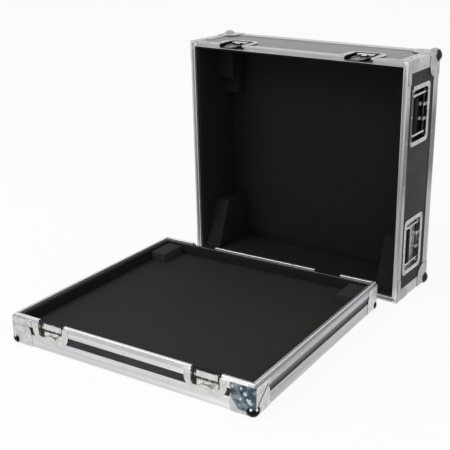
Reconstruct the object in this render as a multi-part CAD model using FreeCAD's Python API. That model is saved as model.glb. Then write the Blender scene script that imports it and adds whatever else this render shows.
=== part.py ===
import FreeCAD, Part
import math
import os

from FreeCAD import Placement, Rotation, Vector

# Flight case for a mixing desk: a shallow tray lying open side up, and its deep
# lift-off lid standing on its front side behind it, open side to the front.
# Lengths are millimetres. X runs right along the tray's front, Y to the back,
# Z up, and the origin is on the floor under the middle of the tray.
#
# Each half is modelled as if it lay on its closed face: closed face at z = 0,
# rim at z = height, front left corner at x = y = 0. The lid is then stood up on
# its front side, so the side that closes over the tray's back is uppermost.

# outside of the case
case_w = 700
case_d = 672
tray_h = 71
lid_h = 195

# where the lid stands: its rim's lower left corner from the tray's back left one
lid_shift_x = 38
lid_gap_y = 118
lid_turn_deg = -4.6

# boards, lining and aluminium sections
panel_t = 9
sheet_t = 1.5
web_t = 1.5
board_gap = 0.5
angle_leg = 33
angle_grip = 13
angle_r = 3
closing_face = 18
closing_grip = 12
mitre_gap = 0.15
tongue_h = 6
tongue_step = 4
tongue_r = 1.5
tongue_gap = 0.5
foam_t = 10
floor_foam_t = 30
foam_below_rim = 1

# ball corners and rim braces
tray_ball_r = 15.5
lid_ball_r = 19.5
ball_inset = 10.7
corner_t = 1.5
corner_leg = 63
corner_lobe_r = 30
corner_end_r = 9
tray_corner_h = 52
ball_cut_depth = 8
brace_t = 1.6
brace_leg = 64
brace_edge = 1
brace_flange = 27
brace_drop = 60
brace_inner_r = 8

# latches: one pressed dish in the lid, and its keeper in the tray
latch_from_end_front = 126
latch_from_end_back = 146
press_t = 1.2
latch_flange_w = 112
latch_flange_l = 79
keeper_flange_l = 48
latch_pocket_w = 76
latch_pocket_l = 68.5
keeper_pocket_l = 34
keeper_pocket_r = 9
keeper_hump_h = 6
keeper_hump_foot = 17
keeper_hump_top = 8
keeper_hump_r = 9
latch_pocket_depth = 9.2
latch_pocket_r = 6
latch_flange_r = 30
flange_r = 6
notch_gap = 0.8
spindle_from_rim = 36
spindle_r = 5
spindle_gap = 0.08
spindle_collar_r = 7.5
spindle_collar_t = 0.9
cam_r = 7
neck_r = 2.5
cam_throw = 4
cam_play = 1.1
hook_w = 40
hook_t = 1.8
hook_level = 6
hook_tail = 18
hook_reach = 16
claw_t = 2
claw_w = 30
claw_depth = 2.6
rail_t = 2.6
rail_lip = 3
rail_lip_t = 1
run_gap = 0.3
fork_r = 11.5
fork_t = 0.8
ear_t = 2
ear_r = 2.4
wing_axis_level = 0.8
barrel_r = 2
barrel_l = 16.4
pin_r = 1
pin_gap = 0.08
wing_t = 2.2
wing_w = 50
wing_l = 24
wing_neck = 3.4
wing_lobe_r = 9
strike_w = 56
strike_t = 1.5

# recessed handles: two on each end of the lid
handle_from_end = 151
handle_from_rim = 85
handle_flange_l = 163
handle_flange_w = 115
handle_flange_r = 14
handle_pocket_l = 139
handle_pocket_w = 91
handle_pocket_r = 10
handle_depth = 15.5
hinge_pin_r = 2.5
hinge_from_side = 8.5
hinge_above_floor = 8
hinge_gap = 0.08
hinge_ear_t = 3
hinge_ear_w = 10
strap_from_mid = 20
strap_w = 9
strap_t = 1.5
strap_foot = 8
strap_head_w = 17
strap_head_l = 7
eye_r = 5.5
bail_t = 5
bail_w = 8
bail_from_end = 15.5
grip_w = 26
grip_t = 17
grip_r = 8
grip_from_arm = 5
grip_from_side = 16.5
grip_above_floor = 9.5
grip_end_r = 2
grip_end_flat = 0.9

# foam blocks that hold the desk: stepped and sloped ones in the lid
block_w = 55
tray_block_w = 50
tray_block_l = 92
tray_block_below_rim = 5
slope_block_l = 144
slope_top_from_rim = 70
slope_foot_from_rim = 14
step_block_l = 100
step_top_from_rim = 105
second_step_l = 50
second_step_from_rim = 134

# one overrun for every cut
over = 40

# planes that the sections share, measured in from the outside
board_in = sheet_t + panel_t
wall_in = board_in + sheet_t
foam_in = wall_in + foam_t
web_side = web_t / math.sqrt(2)
groove_h = tongue_h + tongue_gap * 2
ball_proud = tray_ball_r - ball_inset
bail_span = handle_pocket_l - 2 * bail_from_end


# outlines and solids

def block(x0, x1, y0, y1, z0, z1):
    return Part.makeBox(x1 - x0, y1 - y0, z1 - z0, Vector(x0, y0, z0))


def rounded_loop(corners):
    """A closed wire through corners (u, v) or (u, v, radius) in the XY plane."""
    count = len(corners)
    starts = []
    ends = []
    mids = []
    for i in range(count):
        here = Vector(corners[i][0], corners[i][1], 0)
        radius = corners[i][2] if len(corners[i]) > 2 else 0
        back = corners[i - 1]
        ahead = corners[(i + 1) % count]
        to_back = (Vector(back[0], back[1], 0) - here).normalize()
        to_ahead = (Vector(ahead[0], ahead[1], 0) - here).normalize()
        half_turn = to_back.getAngle(to_ahead) / 2
        if radius == 0:
            starts.append(here)
            mids.append(None)
            ends.append(here)
            continue
        reach = radius / math.tan(half_turn)
        starts.append(here + to_back * reach)
        ends.append(here + to_ahead * reach)
        centre_way = (to_back + to_ahead).normalize()
        centre_reach = radius / math.sin(half_turn)
        mids.append(here + centre_way * (centre_reach - radius))
    edges = []
    for i in range(count):
        if mids[i] is not None:
            edges.append(Part.Arc(starts[i], mids[i], ends[i]).toShape())
        nxt = (i + 1) % count
        if (starts[nxt] - ends[i]).Length > 0:
            edges.append(Part.LineSegment(ends[i], starts[nxt]).toShape())
    return Part.Wire(edges)


def plate(corners, low, high):
    face = Part.Face(rounded_loop(corners))
    face.translate(Vector(0, 0, low))
    return face.extrude(Vector(0, 0, high - low))


def rectangle(u0, u1, v0, v1, radius=0):
    return [(u0, v0, radius), (u1, v0, radius), (u1, v1, radius), (u0, v1, radius)]


def rod(start, end, radius):
    way = end - start
    return Part.makeCylinder(radius, way.Length, start, way)


def frame_at(origin, x_way, y_way):
    turn = Rotation(x_way, y_way, x_way.cross(y_way), "XYZ")
    return Placement(origin, turn)


def placed(shape, frame):
    copy = shape.copy()
    copy.Placement = frame.multiply(copy.Placement)
    return copy


def other_side(shape):
    return shape.mirror(Vector(case_w / 2, 0, 0), Vector(1, 0, 0))


def other_end(shape):
    return shape.mirror(Vector(0, case_d / 2, 0), Vector(0, 1, 0))


def four_corners(shape):
    pair = [shape, other_side(shape)]
    return pair + [other_end(s) for s in pair]


along_x = frame_at(Vector(0, 0, 0), Vector(0, 1, 0), Vector(0, 0, 1))
along_y = frame_at(Vector(0, 0, 0), Vector(0, 0, 1), Vector(1, 0, 0))
swap_axes = frame_at(Vector(0, 0, 0), Vector(0, 1, 0), Vector(0, 0, 1))


# aluminium sections

def angle_section():
    """Double angle: two outer legs, a web, and two inner legs that grip the boards."""
    tip = board_in + angle_grip
    return [
        (angle_leg, 0),
        (angle_leg, sheet_t),
        (sheet_t + web_side, sheet_t),
        (board_in + web_side, board_in),
        (tip, board_in),
        (tip, wall_in),
        (wall_in, wall_in),
        (wall_in, tip),
        (board_in, tip),
        (board_in, board_in + web_side),
        (sheet_t, sheet_t + web_side),
        (sheet_t, angle_leg),
        (0, angle_leg),
        (0, 0, angle_r),
    ]


def tongue_section():
    """Closing section of the tray, with its tongue. v = 0 is the closing line."""
    return [
        (0, -closing_face),
        (0, 0),
        (tongue_step, 0),
        (tongue_step, tongue_h, tongue_r),
        (wall_in, tongue_h, tongue_r),
        (wall_in, -closing_grip),
        (board_in, -closing_grip),
        (board_in, tongue_h - sheet_t),
        (tongue_step + sheet_t, tongue_h - sheet_t),
        (tongue_step + sheet_t, -sheet_t),
        (sheet_t, -sheet_t),
        (sheet_t, -closing_face),
    ]


def groove_section():
    """Closing section of the lid, with the groove that takes the tongue."""
    lip_in = tongue_step - tongue_gap
    lip_out = wall_in + tongue_gap
    seat = -groove_h - sheet_t
    return [
        (0, 0),
        (lip_in, 0),
        (lip_in, -groove_h),
        (lip_out, -groove_h),
        (lip_out, 0),
        (lip_out + sheet_t, 0),
        (lip_out + sheet_t, seat),
        (wall_in, seat),
        (wall_in, -closing_face),
        (board_in, -closing_face),
        (board_in, seat),
        (sheet_t, seat),
        (sheet_t, -closing_face),
        (0, -closing_face),
    ]


def mitre_wedge():
    """What lies outside a 45 degree mitre at a corner, in the XY plane."""
    reach = angle_leg + over
    return plate([
        (-over, -over - mitre_gap),
        (reach, reach - mitre_gap),
        (reach, reach),
        (-over, reach),
    ], -over, reach)


def mitred(bar, length, planes):
    """Cut both ends of a bar that runs along X in each of the planes named."""
    for plane in planes:
        wedge = mitre_wedge()
        if plane == "z":
            wedge = placed(wedge, frame_at(Vector(0, 0, 0), Vector(1, 0, 0), Vector(0, 0, 1)))
            wedge.translate(Vector(0, angle_leg, 0))
        bar = bar.cut(wedge)
        bar = bar.cut(wedge.mirror(Vector(length / 2, 0, 0), Vector(1, 0, 0)))
    return bar


def ball_seat(ball_r):
    """The corner block that the bars are cut back from, to clear a ball."""
    reach = ball_inset + math.sqrt(ball_r ** 2 - (ball_inset - sheet_t) ** 2) + run_gap
    return block(-over, reach, -over, reach, -over, reach)


def side_angle(length, ball_r):
    """A double angle along X at y = z = 0, mitred and cut back for the balls."""
    bar = placed(plate(angle_section(), 0, length), along_x)
    bar = mitred(bar, length, ("y", "z"))
    seat = ball_seat(ball_r)
    bar = bar.cut(seat)
    return bar.cut(seat.mirror(Vector(length / 2, 0, 0), Vector(1, 0, 0)))


def upright_angle(height, ball_r):
    """The double angle up a corner, from its mitre to under the closing section."""
    bar = plate(angle_section(), 0, height - closing_face)
    wedge = mitre_wedge()
    flat = frame_at(Vector(0, 0, 0), Vector(0, 0, 1), Vector(1, 0, 0))
    side = frame_at(Vector(angle_leg, 0, 0), Vector(0, 0, 1), Vector(0, 1, 0))
    bar = bar.cut(placed(wedge, flat))
    bar = bar.cut(placed(wedge, side))
    return bar.cut(ball_seat(ball_r))


def closing_bar(section, length, height):
    """A closing section along X at y = 0, mitred in plan, at the rim's height."""
    bar = placed(plate(section, 0, length), along_x)
    bar.translate(Vector(0, 0, height))
    wedge = mitre_wedge()
    wedge.translate(Vector(0, 0, height - over))
    bar = bar.cut(wedge)
    return bar.cut(wedge.mirror(Vector(length / 2, 0, 0), Vector(1, 0, 0)))


def turned_to_end(bar):
    """Move a bar from the front, y = 0, to the left end, x = 0."""
    return bar.mirror(Vector(0, 0, 0), Vector(1, -1, 0))


def base_angles(ball_r):
    front = side_angle(case_w, ball_r)
    left = turned_to_end(side_angle(case_d, ball_r))
    return [front, other_end(front), left, other_side(left)]


def latch_centres(side):
    from_end = latch_from_end_front if side == "front" else latch_from_end_back
    return [from_end, case_w - from_end]


def latch_openings(side, inner, low):
    """Boxes that clear the latches' pockets out of the front or the back."""
    half = latch_pocket_w / 2 + press_t + notch_gap
    boxes = [block(x - half, x + half, -over, inner, low, lid_h + over)
             for x in latch_centres(side)]
    return boxes if side == "front" else [other_end(b) for b in boxes]


def rim_bars(section, height):
    """Closing bars of one half: front and back with latch notches, then the ends."""
    front = closing_bar(section, case_w, height)
    left = turned_to_end(closing_bar(section, case_d, height))
    bars = [front, other_end(front), left, other_side(left)]
    outline = plate(rectangle(0, case_w, 0, case_d, angle_r), -over, height + over)
    bars = [bar.common(outline) for bar in bars]
    for i, side in enumerate(("front", "back")):
        cuts = latch_openings(side, board_in, height - closing_face - over)
        cuts = cuts + latch_openings(side, wall_in + over, height - sheet_t)
        for cut in cuts:
            bars[i] = bars[i].cut(cut)
    return bars


# boards and foam

def closed_board():
    return block(wall_in, case_w - wall_in, wall_in, case_d - wall_in, sheet_t, board_in)


def long_board(side, top, height, pocket_l):
    """The front or back board, with cut-outs for its two latches."""
    board = block(wall_in, case_w - wall_in, sheet_t, board_in, wall_in, top)
    if side == "back":
        board = other_end(board)
    low = height - pocket_l - press_t - notch_gap
    return board.cut(latch_openings(side, wall_in, low))


def end_board(top):
    return block(sheet_t, board_in, wall_in, case_d - wall_in, wall_in, top)


def wall_foams(top):
    front = block(wall_in, case_w - wall_in, wall_in, foam_in, wall_in, top)
    left = block(wall_in, foam_in, foam_in, case_d - foam_in, wall_in, top)
    return [front, other_end(front), left, other_side(left)]


def end_foam(top, half_l, half_w, face):
    """The lid's left end: strips round the handles' recesses, under one thin sheet."""
    back = case_d - foam_in
    low = lid_h - handle_from_rim - half_w
    high = lid_h - handle_from_rim + half_w
    pieces = [
        block(face, foam_in, foam_in, back, wall_in, top),
        block(wall_in, face, foam_in, back, wall_in, low),
        block(wall_in, face, foam_in, back, high, top),
    ]
    ends = [foam_in]
    for y in (handle_from_end, case_d - handle_from_end):
        ends.extend([y - half_l, y + half_l])
    ends.append(back)
    for start, end in zip(ends[::2], ends[1::2]):
        pieces.append(block(wall_in, face, start, end, low, high))
    return pieces


def bed_foam(thickness):
    return block(foam_in, case_w - foam_in, foam_in, case_d - foam_in,
                 wall_in, wall_in + thickness)


def tray_blocks():
    left = block(foam_in, foam_in + tray_block_w, case_d - foam_in - tray_block_l,
                 case_d - foam_in, wall_in, tray_h - tray_block_below_rim)
    return [left, other_side(left)]


def slope_blocks():
    """Lid blocks at the front corners, which slope away from the rim."""
    low = foam_in
    face = plate([
        (foam_in, low),
        (foam_in + slope_block_l, low),
        (foam_in + slope_block_l, lid_h - slope_top_from_rim),
        (foam_in, lid_h - slope_foot_from_rim),
    ], foam_in, foam_in + block_w)
    left = placed(face, along_x)
    return [left, other_side(left)]


def step_blocks():
    """Lid blocks at the back corners, in two steps."""
    back = case_d - foam_in
    first = back - step_block_l
    second = first - second_step_l
    face = plate([
        (back, foam_in),
        (back, lid_h - step_top_from_rim),
        (first, lid_h - step_top_from_rim),
        (first, lid_h - second_step_from_rim),
        (second, lid_h - second_step_from_rim),
        (second, foam_in),
    ], foam_in, foam_in + block_w)
    left = placed(face, along_x)
    return [left, other_side(left)]


# ball corners and rim braces

def rounded_corner_box(low, radius):
    """A large box whose three edges at its low corner are rounded."""
    size = corner_leg + over - low
    box = Part.makeBox(size, size, size, Vector(low, low, low))
    edges = []
    for edge in box.Edges:
        middle = (edge.Vertexes[0].Point + edge.Vertexes[1].Point) / 2
        at_low = [abs(c - low) < radius for c in (middle.x, middle.y, middle.z)]
        if sum(at_low) == 2:
            edges.append(edge)
    return box.makeFillet(radius, edges)


def ball_corner(upright, ball_r):
    """A pressed corner: a lobed plate on each of three faces, run into a ball."""
    skin = rounded_corner_box(-corner_t, angle_r + corner_t)
    skin = skin.cut(rounded_corner_box(0, angle_r))
    lobe = plate([
        (-corner_t, -corner_t),
        (corner_leg, -corner_t, corner_end_r),
        (corner_leg, corner_leg, corner_lobe_r),
        (-corner_t, corner_leg, corner_end_r),
    ], -corner_t, angle_r)
    second_lobe = placed(lobe, swap_axes)
    third_lobe = placed(second_lobe, swap_axes)
    plates = skin.common(lobe.fuse([second_lobe, third_lobe]))
    plates = plates.common(block(-over, over * 2, -over, over * 2, -over, upright))
    cut_centre = Vector(ball_inset, ball_inset, ball_inset)
    cut_centre = cut_centre - Vector(1, 1, 1).normalize() * ball_cut_depth
    cutter = Part.makeCylinder(over, over, cut_centre, Vector(-1, -1, -1))
    plates = plates.cut(cutter)
    ball = Part.makeSphere(ball_r, Vector(ball_inset, ball_inset, ball_inset))
    ball = ball.cut(block(sheet_t, over, sheet_t, over, sheet_t, over))
    return plates.fuse(ball)


def rim_brace(width, drop):
    """A plate bent round an upright corner. z = 0 is the rim, and z runs down."""
    size = brace_leg + over
    skin = block(-brace_t, size, -brace_t, size, brace_edge, drop)
    upright = [e for e in skin.Edges if e.BoundBox.XMax < 0 and e.BoundBox.YMax < 0]
    skin = skin.makeFillet(angle_r + brace_t, upright)
    inner = block(0, size + over, 0, size + over, -over, drop + over)
    upright = [e for e in inner.Edges if e.BoundBox.XMax <= brace_t and e.BoundBox.YMax <= brace_t]
    skin = skin.cut(inner.makeFillet(angle_r, upright))
    low = brace_edge + width
    end_r = width / 3
    if drop > low:
        outline = [
            (-over, brace_edge),
            (brace_leg, brace_edge, end_r),
            (brace_leg, low, end_r),
            (brace_flange, low, brace_inner_r),
            (brace_flange, drop, brace_inner_r),
            (-over, drop),
        ]
    else:
        outline = [
            (-over, brace_edge),
            (brace_leg, brace_edge, end_r),
            (brace_leg, low, end_r),
            (-over, low),
        ]
    on_front = placed(plate(outline, -angle_r, over),
                      frame_at(Vector(0, 0, 0), Vector(1, 0, 0), Vector(0, 0, 1)))
    on_left = on_front.mirror(Vector(0, 0, 0), Vector(1, -1, 0))
    return skin.common(on_front).fuse(skin.common(on_left)).removeSplitter()


def rim_braces(height, width, drop):
    brace = rim_brace(width, drop)
    up = brace.mirror(Vector(0, 0, 0), Vector(0, 0, 1))
    up.translate(Vector(0, 0, height))
    return four_corners(up)


# latch pieces in their own frame: x along the rim, y towards it, z outwards

def latch_pocket(grow, top):
    """Outline of the lid's pocket, or of its outside when grown by the sheet."""
    half = latch_pocket_w / 2 + grow
    low = -latch_pocket_l - grow
    radius = latch_pocket_r + grow
    return [(half, top), (-half, top), (-half, low, radius), (half, low, radius)]


def keeper_pocket(grow, top):
    """Outline of the keeper's pocket, whose lower edge humps towards the rim."""
    half = latch_pocket_w / 2 + grow
    low = -keeper_pocket_l - grow
    radius = keeper_pocket_r + grow
    slope = math.atan2(keeper_hump_h, keeper_hump_foot - keeper_hump_top)
    shift = grow * math.tan(slope / 2)
    foot = keeper_hump_foot - shift
    crest = keeper_hump_top - shift
    crest_y = low + keeper_hump_h
    return [
        (half, top),
        (-half, top),
        (-half, low, radius),
        (-foot, low, keeper_hump_r + grow),
        (-crest, crest_y, keeper_hump_r - grow),
        (crest, crest_y, keeper_hump_r - grow),
        (foot, low, keeper_hump_r + grow),
        (half, low, radius),
    ]


def pressed_dish(flange_l, pocket):
    """A flange with a pocket that is open at the rim."""
    half = latch_flange_w / 2
    floor = -latch_pocket_depth
    flange = plate([
        (-half, -flange_l, latch_flange_r),
        (half, -flange_l, latch_flange_r),
        (half, -brace_edge),
        (-half, -brace_edge),
    ], 0, press_t)
    body = plate(pocket(press_t, 0), floor - press_t, press_t)
    return flange.fuse(body).cut(plate(pocket(0, over), floor, over))


def latch_dish():
    """The lid's dish, with the hole for the spindle and two rails for the hook."""
    dish = pressed_dish(latch_flange_l, latch_pocket)
    floor = -latch_pocket_depth
    hole_r = spindle_r + spindle_gap
    hole = Part.makeCylinder(hole_r, over, Vector(0, -spindle_from_rim, floor - over / 2))
    dish = dish.cut(hole)
    wall_x = hook_w / 2 + run_gap
    lip_low = -hook_level + hook_t + run_gap
    rail = plate([
        (wall_x - rail_lip, floor),
        (wall_x + rail_t, floor),
        (wall_x + rail_t, lip_low + rail_lip_t),
        (wall_x - rail_lip, lip_low + rail_lip_t),
        (wall_x - rail_lip, lip_low),
        (wall_x, lip_low),
        (wall_x, -hook_level - run_gap),
        (wall_x - rail_lip, -hook_level - run_gap),
    ], 0, latch_pocket_l - 2 * latch_pocket_r)
    rail_frame = frame_at(Vector(0, -latch_pocket_r, 0), Vector(1, 0, 0), Vector(0, 0, 1))
    rail = placed(rail, rail_frame)
    rail_end = -latch_pocket_l + latch_pocket_r
    rail.translate(Vector(0, rail_end - rail.BoundBox.YMin, 0))
    return dish.fuse([rail, rail.mirror(Vector(0, 0, 0), Vector(1, 0, 0))])


def latch_hook():
    """The sliding hook plate, with the cross slot that the cam works in."""
    cam_y = -spindle_from_rim - cam_throw
    half_w = hook_w / 2
    blank = plate([
        (-half_w, cam_y - hook_tail, flange_r),
        (half_w, cam_y - hook_tail, flange_r),
        (half_w, 0, flange_r),
        (claw_w / 2, flange_r),
        (claw_w / 2, hook_reach + claw_t),
        (-claw_w / 2, hook_reach + claw_t),
        (-claw_w / 2, flange_r),
        (-half_w, 0, flange_r),
    ], -hook_level, -hook_level + hook_t)
    slot_x = cam_r + cam_throw + run_gap
    slot_y = cam_r + cam_play
    slot = plate(rectangle(-slot_x, slot_x, cam_y - slot_y, cam_y + slot_y, slot_y / 3),
                 -over, over)
    claw = block(-claw_w / 2, claw_w / 2, hook_reach, hook_reach + claw_t,
                 -hook_level - claw_depth, -hook_level)
    return blank.cut(slot).fuse(claw).removeSplitter()


def latch_spindle():
    """The turning post: cam, fork plate, two ears and the wing's pin."""
    y = -spindle_from_rim
    floor = -latch_pocket_depth - press_t
    cam_low = -hook_level - run_gap / 2
    cam_high = -hook_level + hook_t + run_gap / 2
    fork_low = -hook_level + hook_t + run_gap
    head_low = floor - run_gap - spindle_collar_t
    post = Part.makeCylinder(spindle_r, cam_low - head_low, Vector(0, y, head_low))
    head = Part.makeCylinder(spindle_collar_r, spindle_collar_t, Vector(0, y, head_low))
    collar_low = -latch_pocket_depth + run_gap
    collar = Part.makeCylinder(spindle_collar_r, spindle_collar_t, Vector(0, y, collar_low))
    cam = Part.makeCylinder(cam_r, cam_high - cam_low, Vector(0, y - cam_throw, cam_low))
    neck = Part.makeCylinder(neck_r, fork_low - cam_low, Vector(0, y, cam_low))
    fork = Part.makeCylinder(fork_r, fork_t, Vector(0, y, fork_low))
    ear_in = barrel_l / 2 + run_gap
    ear_foot = fork_low + fork_t / 2
    ear = plate([
        (-ear_r, ear_foot),
        (ear_r, ear_foot),
        (ear_r, ear_r - wing_axis_level, ear_r / 2),
        (-ear_r, ear_r - wing_axis_level, ear_r / 2),
    ], ear_in, ear_in + ear_t)
    ear = placed(ear, frame_at(Vector(0, y, 0), Vector(0, 1, 0), Vector(0, 0, 1)))
    far_ear = ear.mirror(Vector(0, 0, 0), Vector(1, 0, 0))
    pin_end = ear_in + ear_t
    pin = rod(Vector(-pin_end, y, -wing_axis_level), Vector(pin_end, y, -wing_axis_level), pin_r)
    return post.fuse([head, collar, cam, neck, fork, ear, far_ear, pin])


def latch_wing():
    """The folding butterfly wing, lying flat and pointing away from the rim."""
    y = -spindle_from_rim
    half_w = wing_w / 2
    half_barrel = barrel_l / 2
    low = -wing_axis_level - wing_t / 2
    lobes = plate([
        (-half_barrel, 0),
        (-half_barrel, -wing_neck),
        (-half_w, -wing_neck, wing_lobe_r / 2),
        (-half_w, -wing_l, wing_lobe_r),
        (-wing_neck, -wing_l, wing_neck),
        (0, -wing_l + wing_neck * 2, wing_neck),
        (wing_neck, -wing_l, wing_neck),
        (half_w, -wing_l, wing_lobe_r),
        (half_w, -wing_neck, wing_lobe_r / 2),
        (half_barrel, -wing_neck),
        (half_barrel, 0),
    ], low, low + wing_t)
    lobes.translate(Vector(0, y, 0))
    axis_start = Vector(-half_barrel, y, -wing_axis_level)
    axis_end = Vector(half_barrel, y, -wing_axis_level)
    barrel = rod(axis_start, axis_end, barrel_r)
    bore = rod(axis_start - Vector(over, 0, 0), axis_end + Vector(over, 0, 0), pin_r + pin_gap)
    return lobes.fuse(barrel).cut(bore)


def keeper():
    """The tray's dish and the bent strike plate that the hook's claw goes under."""
    dish = pressed_dish(keeper_flange_l, keeper_pocket)
    floor = -latch_pocket_depth
    top = -hook_level - run_gap
    lip_y = -hook_reach + run_gap
    foot_y = -brace_edge * 2
    bend_y = (lip_y + foot_y) / 2
    strike = plate([
        (foot_y, floor),
        (foot_y, floor + strike_t),
        (bend_y, floor + strike_t, strike_t),
        (lip_y + strike_t, top, strike_t),
        (lip_y, top),
        (lip_y, top - strike_t),
        (lip_y + strike_t, top - strike_t),
        (bend_y, floor),
    ], -strike_w / 2, strike_w / 2)
    return [dish, placed(strike, along_x)]


# handle pieces in their own frame: x along the pocket, y to the rim, z outwards

handle_floor = -sheet_t - handle_depth
hinge_y = -handle_pocket_w / 2 + hinge_from_side
hinge_z = handle_floor + hinge_above_floor
grip_y = handle_pocket_w / 2 - grip_from_side
grip_z = handle_floor + grip_above_floor


def handle_dish():
    """The pressed dish, two ears for the pin and two straps over it."""
    half_l = handle_pocket_l / 2
    half_w = handle_pocket_w / 2
    flange = plate(rectangle(-handle_flange_l / 2, handle_flange_l / 2,
                             -handle_flange_w / 2, handle_flange_w / 2,
                             handle_flange_r), -sheet_t, -sheet_t + press_t)
    body = plate(rectangle(-half_l - press_t, half_l + press_t,
                           -half_w - press_t, half_w + press_t,
                           handle_pocket_r + press_t),
                 handle_floor - press_t, -sheet_t + press_t)
    pocket = plate(rectangle(-half_l, half_l, -half_w, half_w, handle_pocket_r),
                   handle_floor, over)
    dish = flange.fuse(body).cut(pocket)
    ear_x = bail_span / 2 + bail_t / 2 + hinge_ear_t
    half_ear = hinge_ear_w / 2
    ear = plate([
        (hinge_y - half_ear, handle_floor),
        (hinge_y + half_ear, handle_floor),
        (hinge_y + half_ear, hinge_z + half_ear, half_ear / 2),
        (hinge_y - half_ear, hinge_z + half_ear, half_ear / 2),
    ], ear_x, ear_x + hinge_ear_t)
    ear = placed(ear, along_x)
    ears = [ear, ear.mirror(Vector(0, 0, 0), Vector(1, 0, 0))]
    reach = Vector(over + handle_pocket_l, 0, 0)
    axis = Vector(0, hinge_y, hinge_z)
    pin_hole = rod(axis - reach, axis + reach, hinge_pin_r)
    ears = [e.cut(pin_hole) for e in ears]
    dish = dish.fuse(ears)
    strap_in = hinge_y + hinge_pin_r + run_gap
    strap_low = hinge_z + hinge_pin_r + run_gap
    strap_end = strap_in + strap_t + strap_foot
    strap = plate([
        (-half_w, strap_low),
        (strap_in, strap_low),
        (strap_in, handle_floor),
        (strap_end, handle_floor),
        (strap_end, handle_floor + strap_t),
        (strap_in + strap_t, handle_floor + strap_t, strap_t),
        (strap_in + strap_t, strap_low + strap_t, strap_t),
        (-half_w, strap_low + strap_t),
    ], strap_from_mid - strap_w / 2, strap_from_mid + strap_w / 2)
    strap = placed(strap, along_x)
    head = plate(rectangle(strap_from_mid - strap_head_w / 2, strap_from_mid + strap_head_w / 2,
                           strap_end - strap_head_l, strap_end, strap_t),
                 handle_floor, handle_floor + strap_t)
    strap = strap.fuse(head).removeSplitter()
    return dish.fuse([strap, strap.mirror(Vector(0, 0, 0), Vector(1, 0, 0))])


def handle_pin():
    end = Vector(bail_span / 2 + bail_t / 2 + hinge_ear_t * 2, 0, 0)
    axis = Vector(0, hinge_y, hinge_z)
    return rod(axis - end, axis + end, hinge_pin_r)


def handle_bail():
    """Two arms with eyes on the pin, joined by the rod inside the grip."""
    mid = bail_span / 2
    half_w = bail_w / 2
    arm = plate([
        (hinge_y, hinge_z - half_w),
        (grip_y + half_w, hinge_z - half_w, half_w / 2),
        (grip_y + half_w, grip_z + half_w, half_w),
        (grip_y - half_w, grip_z + half_w, half_w / 2),
        (hinge_y, hinge_z + half_w),
    ], -bail_t / 2, bail_t / 2)
    arm = placed(arm, along_x)
    axis = Vector(0, hinge_y, hinge_z)
    half_t = Vector(bail_t / 2, 0, 0)
    arm = arm.fuse(rod(axis - half_t, axis + half_t, eye_r))
    arm = arm.cut(rod(axis - half_t * 2, axis + half_t * 2, hinge_pin_r + hinge_gap))
    right = arm.copy()
    right.translate(Vector(mid, 0, 0))
    left = right.mirror(Vector(0, 0, 0), Vector(1, 0, 0))
    bar = rod(Vector(-mid, grip_y, grip_z), Vector(mid, grip_y, grip_z), half_w)
    return right.fuse([left, bar])


def handle_grip():
    """The flat rubber sleeve round the bail's rod."""
    half_l = bail_span / 2 - grip_from_arm
    half_w = grip_w / 2
    half_t = grip_t / 2
    outline = rectangle(grip_y - half_w, grip_y + half_w, grip_z - half_t, grip_z + half_t, grip_r)
    sleeve = placed(plate(outline, -half_l, half_l), along_x)
    ends = [e for f in sleeve.Faces if abs(f.normalAt(0, 0).x) > grip_end_flat for e in f.Edges]
    sleeve = sleeve.makeFillet(grip_end_r, ends)
    start = Vector(-half_l, grip_y, grip_z)
    end = Vector(half_l, grip_y, grip_z)
    return sleeve.cut(rod(start, end, bail_w / 2))


# where the repeated pieces go in a half's frame

def latch_frames(height):
    frames = {}
    for side, y, along in (("front", 0, 1), ("back", case_d, -1)):
        for x, end in zip(latch_centres(side), ("left", "right")):
            frames[side + "_" + end] = frame_at(Vector(x, y, height),
                                                Vector(along, 0, 0), Vector(0, 0, 1))
    return frames


def handle_frames():
    frames = {}
    z = lid_h - handle_from_rim
    for y, side in ((handle_from_end, "front"), (case_d - handle_from_end, "back")):
        frames[side + "_left"] = frame_at(Vector(0, y, z), Vector(0, -1, 0), Vector(0, 0, 1))
        frames[side + "_right"] = frame_at(Vector(case_w, y, z),
                                           Vector(0, 1, 0), Vector(0, 0, 1))
    return frames


# the tray's place, and how the lid stands

tray_place = Placement(Vector(-case_w / 2, -case_d / 2, ball_proud), Rotation())


def lid_lean():
    """Angle by which the lid leans forward, standing on two balls and two braces."""
    run = lid_h - brace_edge - ball_inset
    rise = ball_inset + brace_t
    return math.asin(lid_ball_r / math.hypot(run, rise)) - math.atan2(rise, run)


def lid_standing():
    lean = lid_lean()
    stand = Rotation(Vector(1, 0, 0), 90 + math.degrees(lean))
    turn = Rotation(Vector(0, 0, 1), lid_turn_deg)
    both = turn.multiply(stand)
    rim_corner = both.multVec(Vector(0, 0, lid_h))
    ball_low = both.multVec(Vector(0, ball_inset, ball_inset)).z - lid_ball_r
    corner_x = lid_shift_x - case_w / 2
    corner_y = lid_gap_y + case_d / 2
    move = Vector(corner_x - rim_corner.x, corner_y - rim_corner.y, -ball_low)
    return Placement(move, both)


lid_place = lid_standing()


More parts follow.
